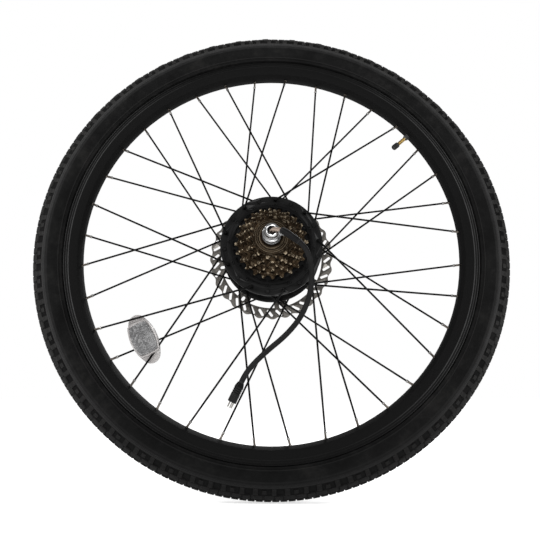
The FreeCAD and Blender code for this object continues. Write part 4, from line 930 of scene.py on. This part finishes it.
def make_cable():
    """The jacket on one smooth line, and the thicker sleeve over its start."""
    curve = bpy.data.curves.new("motor_cable_visual", "CURVE")
    curve.dimensions = "3D"
    spline = curve.splines.new("NURBS")
    spline.points.add(len(CABLE_ROUTE) - 1)
    for point, place in zip(spline.points, CABLE_ROUTE):
        point.co = (*place, 1.0)
    spline.order_u = 3
    spline.use_endpoint_u = True
    spline.resolution_u = 16
    cable = bpy.data.objects.new("motor_cable_visual", curve)
    bpy.context.scene.collection.objects.link(cable)
    line = centre_line(cable)
    curve.bevel_depth = CABLE_RADIUS
    curve.bevel_resolution = 6
    curve.use_fill_caps = True
    settle(cable, "axle", "cable_black", "motor_cable")
    boot = make_boot(line)
    plug = refined("plug_body", 0.35 * MM, "plug_black")
    pins = refined("plug_pins", 0.15 * MM, "pin_tin")


def centre_line(curve_object):
    """The points along a curve that has no bevel."""
    graph = bpy.context.evaluated_depsgraph_get()
    mesh = bpy.data.meshes.new_from_object(curve_object.evaluated_get(graph))
    return [v.co.copy() for v in mesh.vertices]


def make_boot(line):
    """A shrunk-on sleeve, rounded at its start and tapered towards its end."""
    points, radii, gone = [line[0]], [BOOT_RADIUS - BOOT_ROUNDING], 0.0
    for before, point in zip(line, line[1:]):
        gone += (point - before).length
        if gone > BOOT_LENGTH:
            break
        points.append(point)
        share = gone / BOOT_LENGTH
        radii.append(BOOT_RADIUS - BOOT_TAPER * max(0.0, share - TAPER_START) / (1 - TAPER_START))
    boot = sweep("cable_boot_visual", points, radii, 28)
    shade(boot, 50.0)
    settle(boot, "axle", "cable_black", "cable_boot")
    return boot


# ---- hub, freewheel, disc and axle ----

# CAD nodes shown with rounded edges: node, rounding in millimetres, finish
REFINED = [
    ("hub_shell", 0.6, "shell_black"),
    ("drive_cover", 0.5, "shell_black"),
    ("cover_screws", 0.35, "screw_steel"),
    ("spoke_protector", 0.3, "protector_black"),
    ("brake_disc", 0.25, "disc_steel"),
    ("brake_disc_bolts", 0.5, "screw_steel"),
    ("freewheel_body", 0.3, "sprocket_bronze"),
    ("freewheel_core", 0.2, "sprocket_bronze"),
    ("freewheel_lockring", 0.25, "sprocket_bronze"),
    ("sprocket_spacers", 0.25, "sprocket_bronze"),
    *[(f"sprocket_{teeth}t", 0.3, "sprocket_bronze") for teeth in SPROCKET_TEETH],
    ("axle_nut_drive", 0.45, "nut_chrome"),
    ("axle_nut_left", 0.6, "nut_chrome"),
    ("axle_spacer_drive", 0.3, "axle_steel"),
    ("axle_spacer_left", 0.3, "axle_steel"),
    ("tab_washers", 0.25, "axle_steel"),
]


def make_centre_details():
    """Three turned ribs on the lockring, the dust ring inside it, and the grommet in the axle's mouth, whose
    dark rubber also stands in for the shade inside the axle's hollow end.
    """
    for number, radius in enumerate(LOCKRING_RIBS, 1):
        outline = [(radius + across, LOCKRING_FACE + out) for across, out in LOCKRING_RIB_OUTLINE]
        add_ring(f"lockring_rib_{number}", outline, 160, "wheel", "sprocket_bronze")
    add_ring("dust_ring", DUST_RING, 120, "wheel", "sprocket_bronze")
    add_ring("axle_mouth_grommet_and_shade", GROMMET_AND_MOUTH_SHADE, 64, "axle", "seal_rubber")


def add_ring(name, outline, steps, body, slot):
    """A turned ring about the axle, from (radius, y) corners in millimetres."""
    ring = lathe(name, in_metres(outline), steps)
    shade(ring)
    settle(ring, body, slot)


def dress_cad_nodes():
    """A finish for every CAD node that is still shown."""
    slots = {part["node"]: part["material_slot"] for part in frame["record"]["subparts"]}
    for name, node in frame["nodes"].items():
        node.data.materials.clear()
        node.data.materials.append(FINISH[slots[name]])


# ---- stage ----

def make_floor():
    """Pale paper that glows a little more with distance, so that it meets the white room unseen."""
    lowest = CAD_BOUNDS[0].z - FLOOR_GAP
    corners = [(x * FLOOR_REACH, y * FLOOR_REACH, lowest) for x, y in ((-1, -1), (1, -1), (1, 1), (-1, 1))]
    floor = new_piece("floor", corners, [(0, 1, 2, 3)])
    material, tree, shader = start_material("floor_paper")
    colour = ramp(tree, noise(tree, 3.0), [(0.3, grey(0.93)), (0.7, grey(0.95))])
    tree.links.new(colour, shader.inputs["Base Color"])
    shader.inputs["Roughness"].default_value = 0.95
    shader.inputs["Specular IOR Level"].default_value = 0.1
    shader.inputs["Emission Color"].default_value = (1.0, 1.0, 1.0, 1.0)
    reach = add(tree, "ShaderNodeVectorMath", operation="LENGTH")
    tree.links.new(place_of(tree), reach.inputs[0])
    glow = add(tree, "ShaderNodeMapRange")
    for socket, value in zip(list(glow.inputs)[1:5], FLOOR_GLOW):
        socket.default_value = value
    tree.links.new(reach.outputs["Value"], glow.inputs[0])
    tree.links.new(glow.outputs[0], shader.inputs["Emission Strength"])
    floor.data.materials.append(material)


def add_light(name, place, size, power):
    """A round lamp that points at the hub."""
    data = bpy.data.lights.new(name, "AREA")
    data.shape = "DISK"
    data.size = size
    data.energy = power
    lamp = bpy.data.objects.new(name, data)
    lamp.location = place
    lamp.rotation_euler = (-Vector(place)).to_track_quat("-Z", "Y").to_euler()
    bpy.context.scene.collection.objects.link(lamp)


def make_lights():
    """A white room that lights the wheel softly, and the lamps."""
    world = bpy.data.worlds.new("studio")
    world.use_nodes = True
    tree = world.node_tree
    strength = add(tree, "ShaderNodeMapRange")
    strength.inputs["To Min"].default_value = ROOM_LIGHT
    strength.inputs["To Max"].default_value = ROOM_SEEN
    tree.links.new(add(tree, "ShaderNodeLightPath").outputs["Is Camera Ray"], strength.inputs[0])
    tree.nodes["Background"].inputs["Color"].default_value = (1.0, 1.0, 1.0, 1.0)
    tree.links.new(strength.outputs[0], tree.nodes["Background"].inputs["Strength"])
    bpy.context.scene.world = world
    for name, (place, size, power) in LAMPS.items():
        add_light(name, place, size, power)


def make_camera():
    """The photo's view, from below the axle and tilted up."""
    data = bpy.data.cameras.new("camera")
    data.lens = CAMERA_LENS
    data.sensor_width = CAMERA_SENSOR
    data.clip_start = CAMERA_NEAREST
    camera = bpy.data.objects.new("camera", data)
    camera.location = CAMERA_PLACE
    camera.rotation_euler = (math.radians(90.0 + CAMERA_UPWARD), 0.0, 0.0)
    bpy.context.scene.collection.objects.link(camera)
    bpy.context.scene.camera = camera
    bpy.context.scene.view_settings.view_transform = "Standard"


# ---- the scene ----

FINISH = make_finishes()
make_camera()
dress_cad_nodes()
make_cable()
make_tyre()
make_rim()
make_nipples()
make_valve()
make_reflector()
for node_name, edge, finish_slot in REFINED:
    refined(node_name, edge * MM, finish_slot)
make_centre_details()
make_floor()
make_lights()
